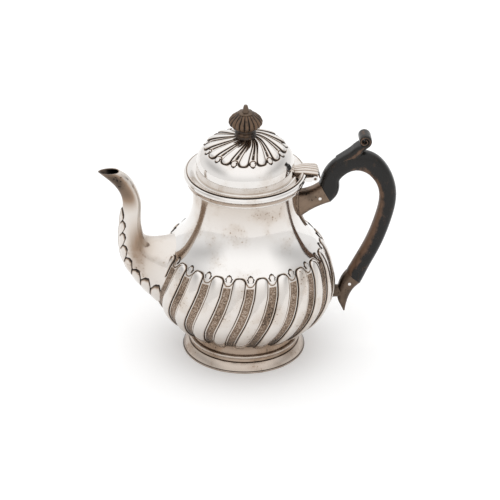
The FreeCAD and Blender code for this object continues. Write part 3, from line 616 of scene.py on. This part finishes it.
# %% Buds in the dips
BUD_ROWS = 16
BUD_COLUMNS = 17
BUD_SUNK = 0.15
BUD_ROOT = -0.6
BUD_TONE = 0.04
BUD_LINE_TONE = 0.95


def bud_shape(length, half_width, thick):
    """A toothed leaf: along, across and up. Its width is a power of the distance from the foot
    times a power of the distance from the tip, and a sine of three swells."""
    along = np.linspace(0.02, 0.99, BUD_ROWS)[:, None]
    swells = 1 + 0.13 * np.sin(along * FULL_TURN * 2.6 + 0.6)
    width = half_width * 1.7 * along ** 0.35 * (1 - along) ** 0.7 * swells
    over = np.linspace(-1, 1, BUD_COLUMNS)[None]
    top = np.broadcast_to(thick * (1 - over ** 4) - BUD_SUNK, (BUD_ROWS, BUD_COLUMNS))
    across = np.concatenate([width * over, width * over[:, ::-1]], 1)
    up = np.concatenate([top, np.full(top.shape, BUD_ROOT)], 1)
    return np.broadcast_to(along * length, across.shape), across, up


def place_buds(name, line, start, angles, turn, shape):
    """Copies of a bud on a turned outline, each at its angle, with its foot at start. The
    points move up along the outline's normal, and round by their width over the radius."""
    along, across, up = shape
    place, normal = line.at(start + along)
    radius = place[..., 0] + normal[..., 0] * up
    level = place[..., 1] + normal[..., 1] * up
    bud_angle = turn(place[..., 1]) + across / place[..., 0]
    angle = angles[:, None, None] + bud_angle[None]
    edge = np.abs(across) / np.abs(across).max(1, keepdims=True)
    line_round = np.maximum(ease(edge, 0.5, 0.68), ease(along / along.max(), 0.62, 0.85))
    tone = np.broadcast_to(BUD_TONE + BUD_LINE_TONE * line_round, angle.shape)
    return skin(name, turned_points(radius[None], angle, level[None]), crease=60, marks={"tone": tone})


def ring_angles(first, count):
    """Angles of equal steps round the ring, from a first one in degrees."""
    return math.radians(first) + np.arange(count) * FULL_TURN / count


body_bud = bud_shape(length=5.6, half_width=3.1, thick=0.8)
body_bud_angles = ring_angles(BUD_ANGLE, body_lobes.count)
body_buds = place_buds("body_buds", body_line, dip + 2.7, body_bud_angles, body_turn, body_bud)
dress(body_buds, "pot", "polished_silver", polished_silver)

# %% [markdown]
# ## Turned mouldings
# The foot, its bead and the rim are mouldings turned round the body's axis. Blender's Screw
# modifier would turn them as well. Here each is a list of runs instead: a run starts at a
# corner, ends where the next one starts and is smooth in between, and each has its own tone.

# %% How a moulding is turned
MOULDING_COLUMNS = 288


def turned(name, runs, columns=MOULDING_COLUMNS, tones=None):
    """A closed moulding: its runs of (radius, height) points joined and swept round Z."""
    corners = [run[0] for run in runs[1:] + runs[:1]]
    pieces = [even_line([*run, end], 5 * len(run) + 5)[:-1] for run, end in zip(runs, corners)]
    tones = tones or [0.0] * len(runs)
    outline = np.vstack(pieces)
    angle = np.linspace(0, FULL_TURN, columns, endpoint=False)[None]
    points = turned_points(outline[:, :1], angle, outline[:, 1:])
    tone = np.concatenate([np.full(len(piece), level) for piece, level in zip(pieces, tones)])
    mark = np.broadcast_to(tone[:, None], points.shape[:2])
    return skin(name, points, loop=True, crease=32, marks={"tone": mark})


print("columns round a moulding:", MOULDING_COLUMNS)

# %% Foot, bead and rim
BEAD_CENTRE = (38.0, 10.5)
BEAD_RADIUS = 1.3
foot_runs = [
    [(40.8, 0.0)],
    [(42.6, 0.0), (42.95, 0.5)],
    [(42.8, 1.3)],
    [(42.3, 1.7), (41.5, 3.3), (40.3, 5.0)],
    [(38.8, 6.6)],
    [(38.0, 7.0), (37.2, 8.6), (37.0, 12.0), (36.4, 15.6)],
    [(36.5, 18.0)],
    [(35.0, 18.0), (35.4, 10.0), (37.4, 6.0)],
]
foot_tones = [0.3, 0.05, 0.6, 0.02, 0.5, 0.16, 0.4, 0.4]
foot_ring = turned("foot_moulding", foot_runs, tones=foot_tones)
dress(foot_ring, "pot", "toned_silver", toned_silver, "foot_ring")
foot_bead = turned("foot_bead", [arc_points(BEAD_CENTRE, BEAD_RADIUS, 0, 360, 13)[:-1]])
dress(foot_bead, "pot", "toned_silver", toned_silver, "foot_wire")
rim_runs = [
    [(38.4, 130.9)],
    [(40.2, 130.7), (40.8, 131.3)],
    [(40.5, 132.1), (40.7, 133.6)],
    [(41.9, 135.3), (42.9, 136.0), (43.0, 137.4)],
    [(42.4, 138.6), (41.3, 138.9)],
    [(40.3, 138.9), (39.4, 137.5), (38.7, 134.0)],
]
rim_tones = [0.6, 0.1, 0.42, 0.02, 0.06, 0.3]
mouth_rim = turned("mouth_moulding", rim_runs, tones=rim_tones)
dress(mouth_rim, "pot", "polished_silver", polished_silver, "mouth_rim")

# %% [markdown]
# ## The lid
# The lid is a dome on a dished flange. Thirteen flutes fall from the knob to drooping tips, and
# buds hang between them. A new mesh could be sculpted for it, but it is the belly's formula
# again, with the distance counted down the crown from its top. The flutes swirl more and more
# towards the knob. A dark line is painted round the edge as painted shade, where the lid lies
# on the rim.

# %% Rows and columns of the lid
CROWN_CENTRE = (0.0, 124.9)
CROWN_ARC = 43.0
CROWN_START = 84
CROWN_END = 46.4
SHOULDER_CENTRE = (19.33, 145.2)
SHOULDER_ARC = 14.97
FLANGE = [(34.2, 141.5), (33.8, 138.6), (34.3, 137.3), (36.0, 137.4), (38.4, 138.7), (40.2, 139.8)]
lid_line = Outline(np.vstack([
    arc_points(CROWN_CENTRE, CROWN_ARC, CROWN_START, CROWN_END, 9),
    arc_points(SHOULDER_CENTRE, SHOULDER_ARC, CROWN_END, 0, 7)[1:],
    FLANGE,
]), outward=-1)
lid_lobes = Lobes(
    count=13, lobe=0.255, border=0.165, swell=1.5, band_depth=0.8,
    rise=4.6, top_border=0.2, band_end=0.9, line=0.36,
)
LID_BUD_ANGLE = -84.0
LID_SWIRL = 50.0
TIP_RADIUS = 28.6


def lid_turn(radius):
    """Angle by which the flutes swirl between the knob and their tips, in radians: a power of
    the distance from the tips."""
    return math.radians(LID_SWIRL) * (1 - np.clip(radius / TIP_RADIUS, 0, 1)) ** 1.7


phase, ring_angle = lobe_columns(lid_lobes.count, lid_lobes.lobe)
lid_steps = np.linspace(0, lid_line.length, 1500)
tip_distance = lid_steps[np.argmax(lid_line.at(lid_steps)[0][:, 0] > TIP_RADIUS)]
lid_dip = tip_distance - lid_lobes.rise
rows = np.r_[
    np.linspace(0, lid_dip - 4, 26)[:-1],
    np.linspace(lid_dip - 4, tip_distance + 2, 38)[:-1],
    np.linspace(tip_distance + 2, lid_line.length, 40),
]
print("rows and columns of the lid:", len(rows), len(phase))

# %% The fluted lid
FULL_PITCH = 14.0
FLUTE_SINK = 0.6
CORNER = (33.8, 138.4)
GUTTER_RADIUS = 34.6
GUTTER_TOP = 141
LID_TONE = 0.03
UNDER_TONE = 0.12
PAINTED_EDGE_SHADE = 0.85
EDGE_ROWS = 3
LID_UNDERSIDE = np.array([
    (41.2, 139.6), (41.2, 139.0), (40.6, 138.95), (38.6, 137.7), (36.4, 136.3), (33.6, 136.3),
    (32.8, 138.5), (33.2, 145.0), (29.5, 154.8), (20.0, 161.9), (4.5, 166.6),
])
place, normal = lid_line.at(rows)
pitch = FULL_TURN * place[:, :1] / lid_lobes.count
height, tone, matte = lid_lobes.relief(phase[None], (rows - lid_dip)[:, None], pitch)
# The flutes sink towards the knob, and are flatter where the pitch is small.
sunk = FLUTE_SINK * lid_lobes.swell * ease(lid_dip - rows, -3.0, 10.0)[:, None]
height = (height - sunk) * np.clip(pitch / FULL_PITCH, 0.25, 1.0)
radius = place[:, :1] + normal[:, :1] * height
level = place[:, 1:] + normal[:, 1:] * height
first_flute = math.radians(LID_BUD_ANGLE) + math.pi / lid_lobes.count
angle = first_flute + ring_angle[None] + lid_turn(place[:, :1])
top_points = turned_points(radius, angle, level)
under_points = turned_points(LID_UNDERSIDE[:, :1], angle[-1:], LID_UNDERSIDE[:, 1:])
# Brown lies in the chased lines, in the corner under the dome, and a little in the gutter.
from_corner = np.hypot(place[:, :1] - CORNER[0], place[:, 1:] - CORNER[1])
gutter = 0.04 * np.exp(-((place[:, :1] - GUTTER_RADIUS) / 1.4) ** 2) * (place[:, 1:] < GUTTER_TOP)
corner_line = 0.5 * np.exp(-(from_corner / 0.35) ** 2)
tone = np.clip(tone * 1.4 + 0.25 * matte + LID_TONE + gutter + corner_line, 0, 1)
under_tone = np.full(under_points.shape[:2], UNDER_TONE)
# The outer edge of the underside is painted dark, as painted shade where the lid lies on the rim.
painted_edge_shade = np.where(np.arange(len(LID_UNDERSIDE)) < EDGE_ROWS, PAINTED_EDGE_SHADE, 0.0)[:, None]
lid_marks = {
    "tone": np.vstack([tone, under_tone + painted_edge_shade]),
    "matte": np.vstack([matte * 0.25, under_tone]),
}
lid_dome = skin("fluted_lid", np.vstack([top_points, under_points]), marks=lid_marks)
dress(lid_dome, "lid", "polished_silver", polished_silver, "lid_dome")

# %% Buds on the lid
lid_bud = bud_shape(length=4.6, half_width=3.0, thick=0.7)
lid_bud_angles = ring_angles(LID_BUD_ANGLE, lid_lobes.count)
lid_buds = place_buds("lid_buds", lid_line, lid_dip + 1.2, lid_bud_angles, np.zeros_like, lid_bud)
dress(lid_buds, "lid", "polished_silver", polished_silver)

# %% [markdown]
# ## Spout
# The spout is a swan neck raised from two halves: flat on top between two soft edges, and
# narrowing below to a keel. A bevelled curve could only give it a section of one form. Here
# eleven sections carry it from the belly to the boat-shaped mouth. It is a tube with a real
# wall, which shades the mouth, and the inside of the channel is also painted dark as painted
# shade.

# %% The spout's surface
# Each section is x, z, half depth, half width in millimetres, and its lean in degrees.
SPOUT_SECTIONS = np.array([
    (-46.0, 57.5, 30.0, 24.0, 8.0),
    (-56.5, 62.9, 24.2, 19.4, 11.5),
    (-67.0, 68.3, 18.8, 15.0, 15.0),
    (-75.0, 75.5, 14.4, 12.0, 22.0),
    (-79.0, 85.0, 11.8, 9.8, 38.0),
    (-80.2, 97.5, 9.0, 8.0, 55.0),
    (-79.5, 109.5, 7.3, 6.8, 70.0),
    (-79.4, 119.0, 6.4, 6.0, 80.0),
    (-81.7, 126.7, 6.2, 5.4, 77.0),
    (-85.8, 133.6, 6.5, 5.0, 75.0),
    (-95.2, 142.0, 7.5, 4.6, 90.0),
])
FLAT_TOP = 0.62
FULL_SIDE = 0.86
KEEL_NARROWING = 0.16
spout_knots = run_lengths(SPOUT_SECTIONS[:, :2])
SPOUT_END = spout_knots[-1]


def spout_surface(distance, turn, wall):
    """Points on the spout: a section's ring is drawn out along its lean and across, flat
    towards the top (turn = pi) and narrowed towards the keel (turn = 0). Powers of the
    cosine and sine below 1 make the ring fuller than an ellipse."""
    distance, turn = np.broadcast_arrays(distance, turn)
    section = smooth_line(spout_knots, SPOUT_SECTIONS, distance.ravel()).reshape(*distance.shape, 5)
    x, z, depth, width, lean = np.moveaxis(section, -1, 0)
    lean = np.radians(lean)
    down = np.cos(turn)
    side = np.sin(turn)
    flat = np.where(down < 0, FLAT_TOP, 1.0)
    full = np.where(down > 0, 1.0, FULL_SIDE)
    deep = -(depth - wall) * np.sign(down) * np.abs(down) ** flat
    wide = (width - wall) * np.sign(side) * np.abs(side) ** full
    wide = wide * (1 - KEEL_NARROWING * np.clip(down, 0, 1))
    return np.stack([x + deep * np.sin(lean), wide, z + deep * np.cos(lean)], -1)


print("length of the spout, mm:", round(SPOUT_END, 1))

# %% The spout
SPOUT_COLUMNS = 96
CHANNEL_ROWS = 60
SPOUT_WALL = 1.1
LIP = 0.4
SPOUT_TONE = 0.13
PAINTED_CHANNEL_SHADE = 0.92
turn = np.linspace(0, FULL_TURN, SPOUT_COLUMNS, endpoint=False)[None]
outside = np.linspace(0, SPOUT_END, 130)[:, None]
channel = np.linspace(SPOUT_END - LIP, 0, CHANNEL_ROWS)[:, None]
spout_points = np.vstack([spout_surface(outside, turn, 0.0), spout_surface(channel, turn, SPOUT_WALL)])
# Painted shade under and beside the neck of the spout, and brown tarnish with painted shade over its knee.
from_knee = (outside - spout_knots[4]) / 16
knee_brown_and_shade = 0.45 * np.exp(-from_knee ** 2) * ease(-np.cos(turn), -0.7, 0.3)
painted_neck_shade = 0.6 * ease(outside, spout_knots[6], spout_knots[8]) * ease(np.cos(turn), -0.75, 0.1)
# The inside of the channel is painted nearly black, as painted shade.
painted_channel_shade = np.full((CHANNEL_ROWS, SPOUT_COLUMNS), PAINTED_CHANNEL_SHADE)
spout_tone = np.vstack([knee_brown_and_shade + painted_neck_shade + SPOUT_TONE, painted_channel_shade])
spout = skin("swan_spout", spout_points, loop=True, crease=50, marks={"tone": spout_tone})
dress(spout, "pot", "polished_silver", polished_silver, "spout")

# %% [markdown]
# A cast acanthus leaf wraps the keel of the spout, with eight rounded lobes on each side of a
# midrib. It could be a flat mesh shrink-wrapped on to the spout. But the spout's surface is a
# formula, so the leaf asks it for its own points, lifted by the leaf's thickness, and its
# edge swings in and out to make the lobes.

# %% The leaf on the spout
LEAF_LOBES = 8
LEAF_ROWS = 240
LEAF_COLUMNS = 41
LEAF_REACH = 76.0
LEAF_ROOT = 0.6
LEAF_BACK_TONE = 0.5
leaf_start = spout_knots[1] - 2
leaf_length = spout_knots[6] + 3 - leaf_start
share = np.linspace(0, 1, LEAF_ROWS)[:, None]
over = np.linspace(-1, 1, LEAF_COLUMNS)[None]
side = np.abs(over)
# The edge swings out in lobes with small teeth, and tapers to the tip.
lobe_phase = (share * LEAF_LOBES) % 1.0
scallop = np.sin(np.pi * lobe_phase) ** 0.5
taper = (1 - 0.32 * share) * np.sqrt(np.clip((1.001 - share) * 6, 0, 1))
lobed = 0.55 + 0.45 * scallop + 0.015 * np.sin(6 * np.pi * lobe_phase)
reach = np.radians(LEAF_REACH) * taper * lobed
# Ribs run lengthways, each lobe is puffed up, and its tip sweeps forward.
ribs = 0.35 * np.cos(over * 3 * np.pi) * (1 - side)
puffed = scallop * (0.9 * side + 0.5 * (1 - side))
lift = 1 - side ** 6 + ribs - 0.3 + puffed
swept_tips = 0.35 * leaf_length / LEAF_LOBES * over ** 2
along = np.minimum(leaf_start + leaf_length * share + swept_tips, SPOUT_END)
leaf_top = spout_surface(along, reach * over, -lift)
leaf_back = spout_surface(along, reach * over, LEAF_ROOT)[:, ::-1]
# Brown lies along the midrib, round the edge, and in the valleys between lobes.
midrib = np.exp(-(over / 0.10) ** 2)
leaf_edge = ease(side, 0.86, 1.0)
between_lobes = (1 - ease(scallop, 0.25, 0.6)) * ease(side, 0.25, 0.6)
top_tone = np.clip(0.85 * (midrib + leaf_edge + between_lobes) - 0.2, -0.2, 1)
leaf_tone = np.hstack([top_tone, np.full(top_tone.shape, LEAF_BACK_TONE)])
spout_leaf = skin("acanthus_leaf", np.hstack([leaf_top, leaf_back]), crease=60, marks={"tone": leaf_tone})
dress(spout_leaf, "pot", "toned_silver", toned_silver, "spout_leaf")

# %% [markdown]
# ## Handle
# The handle is carved from one piece of wood, in an arch from the upper socket to the lower
# one. A subdivided box could be pulled into shape by hand. A ring swept along a line is surer,
# because the ends have to meet the two sockets: sections give its depth and width on the way,
# and the ring leans at its ends as the sockets do.

# %% A ring carried along a line
LEAN_FADE = 6.0


def sweep(points, half_deep, half_wide, columns, square, leans=None):
    """A ring carried along a line in the plane y = 0. The ring's depth stands square to the
    line, turned at the two ends to the leans, in degrees. That turn fades over a few rows as
    an exponential. The ring is a superellipse: square above 2 flattens its sides."""
    ahead = np.gradient(points, axis=0)
    lean = np.unwrap(np.arctan2(-ahead[:, 1], ahead[:, 0]))
    if leans:
        ends = np.arange(len(points))
        lean += (math.radians(leans[0]) - lean[0]) * np.exp(-ends / LEAN_FADE)
        lean += (math.radians(leans[1]) - lean[-1]) * np.exp(-ends[::-1] / LEAN_FADE)
    turn = np.linspace(0, FULL_TURN, columns, endpoint=False)[None]
    up = np.cos(turn)
    side = np.sin(turn)
    norm = (np.abs(up) ** square + np.abs(side) ** square) ** (1 / square)
    deep = half_deep[:, None] * up / norm
    wide = half_wide[:, None] * side / norm
    x = points[:, :1] + deep * np.sin(lean)[:, None]
    z = points[:, 1:] + deep * np.cos(lean)[:, None]
    return np.stack([x, wide, z], -1), turn


print("a sweep is ready for the grip and the tongue")

# %% The grip
# Each section is x, z, half depth and half width in millimetres.
HANDLE_SECTIONS = np.array([
    (56.4, 120.7, 8.0, 6.8), (58.0, 123.0, 7.8, 6.8), (59.8, 131.3, 6.5, 6.3), (62.9, 136.8, 6.6, 6.2),
    (73.5, 143.8, 7.0, 6.2), (84.0, 143.7, 7.6, 6.2), (94.4, 134.8, 6.8, 6.2), (100.1, 118.0, 6.0, 6.0),
    (97.2, 98.7, 5.8, 6.0), (88.9, 75.8, 5.8, 6.0), (83.5, 65.0, 5.9, 5.9), (77.2, 52.0, 6.4, 5.8),
])
SOCKET_LEANS = (-28.0, 131.0)
handle_knots = run_lengths(HANDLE_SECTIONS[:, :2])
steps = np.linspace(0, handle_knots[-1], 220)
grip = smooth_line(handle_knots, HANDLE_SECTIONS, steps)
grip_points, turn = sweep(grip[:, :2], grip[:, 2], grip[:, 3], 64, 2.5, SOCKET_LEANS)
# Fingers rub the stain off the inner face, from the arch down to the toe.
inner_face = ease(-np.cos(turn), 0.1, 0.8)
past_arch = ease(steps, handle_knots[3], handle_knots[5])
near_toe = ease(steps, handle_knots[10], handle_knots[11])
held = (past_arch * (1 - 0.5 * near_toe))[:, None]
handle_grip = skin("wooden_grip", grip_points, crease=45, marks={"worn": inner_face * held})
dress(handle_grip, "pot", "black_wood", black_wood, "handle_grip")

# %% [markdown]
# Behind the arch a tongue leaves the handle and ends in a roll for the thumb. The roll is
# carved as a real scroll: the line of the tongue runs on into a spiral, and the same sweep
# carries a flat ring along it, thinner and thinner towards the eye.

# %% The tongue and its roll
ROLL_CENTRE = (82.9, 161.6)
TONGUE_START = [(66.0, 143.0), (72.0, 147.4), (77.5, 152.0), (81.6, 156.2)]
spiral_radius = np.linspace(4.1, 1.5, 26)
spiral = arc_points(ROLL_CENTRE, spiral_radius, -62, 420, 26)
tongue_line = np.vstack([TONGUE_START, spiral[1:]])
tongue_knots = run_lengths(tongue_line)
tongue_end = tongue_knots[-1]
steps = np.linspace(0, tongue_end, 200)
tongue_path = smooth_line(tongue_knots, tongue_line, steps)
# The tongue thins towards the roll, and the roll is wider than the tongue.
thick = np.interp(steps, [0, 16, 24, tongue_end], [4.4, 3.6, 1.5, 0.7])
wide = np.interp(steps, [0, 18, 26, tongue_end], [5.2, 5.6, 6.2, 6.2])
tongue_points, turn = sweep(tongue_path, thick, wide, 40, 5.0)
tongue_worn = 0.6 * ease(np.abs(np.sin(turn)), 0.9, 1.0) + 0.3 * ease(steps, 20, 30)[:, None]
thumb_roll = skin("thumb_roll", tongue_points, crease=45, marks={"worn": tongue_worn})
dress(thumb_roll, "pot", "black_wood", black_wood)

# %% [markdown]
# ## Finial
# The knob is a reeded bud of brown wood on a turned collar. A dark silver rosette and the
# pointed head of its bolt close it at the top. The reeds could be an array of thin rods. On
# the real knob they are cut into the turned wood, so a rounded cosine is taken off the radius
# of a turned outline, and the wood is rubbed brown on the ridges.

# %% Collar and knob
collar_runs = [
    [(2.0, 166.9)],
    [(7.2, 166.2), (7.8, 167.1)],
    [(7.3, 168.1)],
    [(6.9, 168.6), (7.5, 169.5)],
    [(7.0, 170.5), (6.2, 171.2)],
    [(5.8, 172.1)],
    [(2.0, 172.1)],
]
finial_collar = turned("finial_collar_ring", collar_runs, columns=120)
dress(finial_collar, "lid", "brown_wood", brown_wood, "finial_collar")
KNOB_OUTLINE = [
    (2.2, 172.2), (5.6, 172.3), (7.4, 173.2), (10.2, 175.2), (11.9, 177.2),
    (11.5, 179.4), (9.6, 181.6), (7.2, 183.4), (5.2, 184.5), (2.2, 184.6),
]
KNOB_REEDS = 20
REED_DEPTH = 1.1
knob_line = even_line(KNOB_OUTLINE, 60)
turn = np.linspace(0, FULL_TURN, KNOB_REEDS * 10, endpoint=False)[None]
# Each reed is a rounded ridge, and the cuts fade out at both ends of the knob.
ridges = np.abs(np.cos(turn * KNOB_REEDS / 2)) ** 0.6
reed_cut = REED_DEPTH * ease(knob_line[:, :1], 5.4, 9.0) * (ridges - 1)
knob_points = turned_points(knob_line[:, :1] + reed_cut, turn, knob_line[:, 1:])
knob_worn = np.broadcast_to(0.9 * ease(ridges, 0.3, 0.9) - 0.35, knob_points.shape[:2])
finial_knob = skin("reeded_knob", knob_points, crease=70, marks={"worn": knob_worn})
dress(finial_knob, "lid", "brown_wood", brown_wood, "finial_knob")

# %% Rosette
PETAL_WAVES = 4
PETAL_SWELL = 0.10
petal_line = np.array([(0.8, 184.5), (4.6, 184.5), (5.2, 184.9), (4.7, 185.4), (3.0, 185.7), (0.8, 185.8)])
turn = np.linspace(0, FULL_TURN, 96, endpoint=False)[None]
petal_swell = PETAL_SWELL * np.abs(np.cos(turn * PETAL_WAVES)) * ease(petal_line[:, :1], 2.0, 4.6)
petals = turned_points(petal_line[:, :1] * (1 + petal_swell), turn, petal_line[:, 1:])
petal_rosette = skin("petal_rosette", petals, crease=35)
dress(petal_rosette, "lid", "fitting_silver", fitting_silver, "finial_petal_washer")

# %% [markdown]
# ## Hinge leaf
# A cast leaf is soldered to the lid's flange. It arches over the rim with raised ribs and
# curls down over the joint. It could be bent from a flat plate with a modifier. The grid is
# more direct: it follows the curl lengthways, and the ribs are a row of cosine humps across.

# %% The leaf over the joint
HINGE_LEAF_LINE = [
    (34.0, 140.0), (38.0, 140.6), (42.0, 140.9), (45.0, 140.6),
    (48.2, 140.1), (50.3, 139.4), (51.8, 137.7), (52.2, 135.6),
]
HINGE_LEAF_RIBS = 5
HINGE_LEAF_ROWS = 48
HINGE_LEAF_BACK_TONE = 0.35
path = even_line(HINGE_LEAF_LINE, HINGE_LEAF_ROWS)
ahead = np.gradient(path, axis=0)
ahead /= np.linalg.norm(ahead, axis=1)[:, None]
above = np.stack([-ahead[:, 1], ahead[:, 0]], -1)
share = np.linspace(0, 1, HINGE_LEAF_ROWS)[:, None]
over = np.linspace(-1, 1, 41)[None]
# The leaf widens away from the lid, and both its faces arch down at the sides.
half_width = 8.4 - 3.2 * (1 - share) ** 2.5
humps = np.abs(np.cos(over * np.pi * HINGE_LEAF_RIBS / 2)) ** 0.7
arched = over ** 2 * (1 - share ** 3)
front = 0.6 * humps * (1 - 0.6 * share) - 0.4 - 1.3 * arched
reverse = -1.1 - 1.9 * (1 - share) ** 2 - 0.6 * arched
offset = np.hstack([front, reverse[:, ::-1]])
across = np.hstack([half_width * over, half_width * over[:, ::-1]])
leaf_x = path[:, :1] + above[:, :1] * offset
leaf_z = path[:, 1:] + above[:, 1:] * offset
front_tone = -0.16 + 0.8 * (1 - ease(humps, 0.1, 0.7)) * (1 - 0.5 * share)
leaf_tone = np.hstack([front_tone, np.full(reverse.shape, HINGE_LEAF_BACK_TONE)])
leaf_points = np.stack([leaf_x, across, leaf_z], -1)
hinge_leaf = skin("cast_hinge_leaf", leaf_points, crease=50, marks={"tone": leaf_tone})
dress(hinge_leaf, "lid", "toned_silver", toned_silver, "hinge_lid_leaf")

# %% [markdown]
# ## Parts that keep their own shape
# The sockets, the joint, the pins and the fittings inside the lid keep the shape they have in
# the frame, because it is already the right one, and only get their finish. The ends of the
# two cross pins are bright polished silver, and the lower socket and its boss take the darker
# fitting finish, as painted shade.

# %% Finishes for the parts that stay
FINISHES = {
    "polished_silver": polished_silver, "toned_silver": toned_silver, "dark_silver": dark_silver,
    "fitting_silver": fitting_silver, "black_wood": black_wood, "brown_wood": brown_wood,
}
OWN_FINISHES = {
    "upper_handle_pin": polished_silver, "lower_handle_pin": polished_silver,
    # The lower socket and its boss take the darker fitting finish as painted shade.
    "lower_handle_socket": fitting_silver, "lower_socket_boss": fitting_silver,
}
for part in frame["record"]["subparts"]:
    kept = frame["nodes"][part["node"]]
    kept.data.materials.clear()
    kept.data.materials.append(OWN_FINISHES.get(part["node"], FINISHES[part["material_slot"]]))

# %% [markdown]
# ## Floor, light and camera
# The pot stands in a white tent. Lamps would leave hard bright spots in the silver, so the
# world alone gives the light. The floor is white paper and keeps the shadow. Its faint glow is
# for the camera and for mirrored rays only, so that the paper reads as white without more
# light on the pot.

# %% Floor
PAPER_WHITE = (0.93, 0.93, 0.93, 1)
PAPER_GLOW = 0.1
HALF_FLOOR = (1.0, 6.0)
floor_x, floor_y = np.meshgrid(np.linspace(-1, 1, 3) * HALF_FLOOR[0], np.linspace(-1, 1, 3) * HALF_FLOOR[1])
floor_points = np.stack([floor_x, floor_y, np.zeros_like(floor_x)], -1).reshape(-1, 3)
floor_mesh = bpy.data.meshes.new("tent_floor")
floor_mesh.from_pydata(floor_points.tolist(), [], grid_cells(3, 3, False, False)[:, ::-1].tolist())
floor = bpy.data.objects.new("tent_floor", floor_mesh)
bpy.context.scene.collection.objects.link(floor)
paper, tree, shader = new_finish("white_paper")
view = node(tree, "LightPath").outputs
mirrored = maths(tree, "MAXIMUM", view["Is Glossy Ray"], view["Is Transmission Ray"])
seen = maths(tree, "MAXIMUM", view["Is Camera Ray"], mirrored)
feed(tree, shader, {
    "Base Color": PAPER_WHITE,
    "Roughness": 0.9,
    "Specular IOR Level": 0.0,
    "Emission Color": (1, 1, 1, 1),
    "Emission Strength": times(tree, seen, PAPER_GLOW),
})
floor_mesh.materials.append(paper)
print("floor, m:", floor.dimensions[:2])

# %% [markdown]
# The world is the tent. It is plain white up to the horizon, which is all that the camera
# sees of it past the floor. Above, it grows brighter towards the roof, and darker towards its
# two open sides, so that the silver has something to show.

# %% World
ROOF_LIGHT = 1.26
SIDE_SHADE = 0.5
world = bpy.data.worlds.new("white_tent")
bpy.context.scene.world = world
world.use_nodes = True
tree = world.node_tree
tree.nodes.clear()
direction = node(tree, "TexCoord").outputs["Generated"]
axes = node(tree, "SeparateXYZ", {0: direction}).outputs
upward = axes["Z"]
sideways = maths(tree, "ABSOLUTE", axes["X"])
open_side = times(tree, spread(tree, sideways, 0.5, 1.0, 0.0, SIDE_SHADE), spread(tree, upward, 0.0, 0.5))
roof = spread(tree, upward, 0.0, 0.7, 1.0, ROOF_LIGHT)
tent = times(tree, roof, maths(tree, "SUBTRACT", 1.0, open_side))
background = node(tree, "Background", {"Color": (1, 1, 1, 1), "Strength": tent})
node(tree, "OutputWorld", {"Surface": background.outputs[0]})
print("world:", world.name)

# %% [markdown]
# The camera stands far off with a long lens, because the photograph shows hardly any
# perspective. Its place comes from two angles and a small roll. It could be aimed with a
# tracking constraint, but its three axes can be written down directly.

# %% Camera
CAMERA_AZIMUTH = math.radians(-5.0)
CAMERA_ELEVATION = math.radians(29.334)
CAMERA_ROLL = math.radians(0.508)
CAMERA_DISTANCE = 4.2
POT_MIDDLE = np.array([0.0, 0.0, 0.094])
FRAMING_RIGHT = 0.00369
FRAMING_UP = -0.0160
back = np.array([
    math.sin(CAMERA_AZIMUTH) * math.cos(CAMERA_ELEVATION),
    -math.cos(CAMERA_AZIMUTH) * math.cos(CAMERA_ELEVATION),
    math.sin(CAMERA_ELEVATION),
])
level_right = np.array([math.cos(CAMERA_AZIMUTH), math.sin(CAMERA_AZIMUTH), 0.0])
level_up = np.cross(back, level_right)
right = level_right * math.cos(CAMERA_ROLL) + level_up * math.sin(CAMERA_ROLL)
up = level_up * math.cos(CAMERA_ROLL) - level_right * math.sin(CAMERA_ROLL)
eye = POT_MIDDLE + CAMERA_DISTANCE * back + FRAMING_RIGHT * right + FRAMING_UP * up
lens = bpy.data.cameras.new("camera")
lens.sensor_width = 36.0
lens.lens = 432.0
lens.clip_start = 0.1
lens.clip_end = 20.0
camera = bpy.data.objects.new("camera", lens)
camera_axes = Matrix(np.stack([right, up, back], -1).tolist()).to_4x4()
camera.matrix_world = Matrix.Translation(eye.tolist()) @ camera_axes
bpy.context.scene.collection.objects.link(camera)
bpy.context.scene.camera = camera
bpy.context.scene.view_settings.view_transform = "Standard"
print("camera at, m:", np.round(eye, 3))
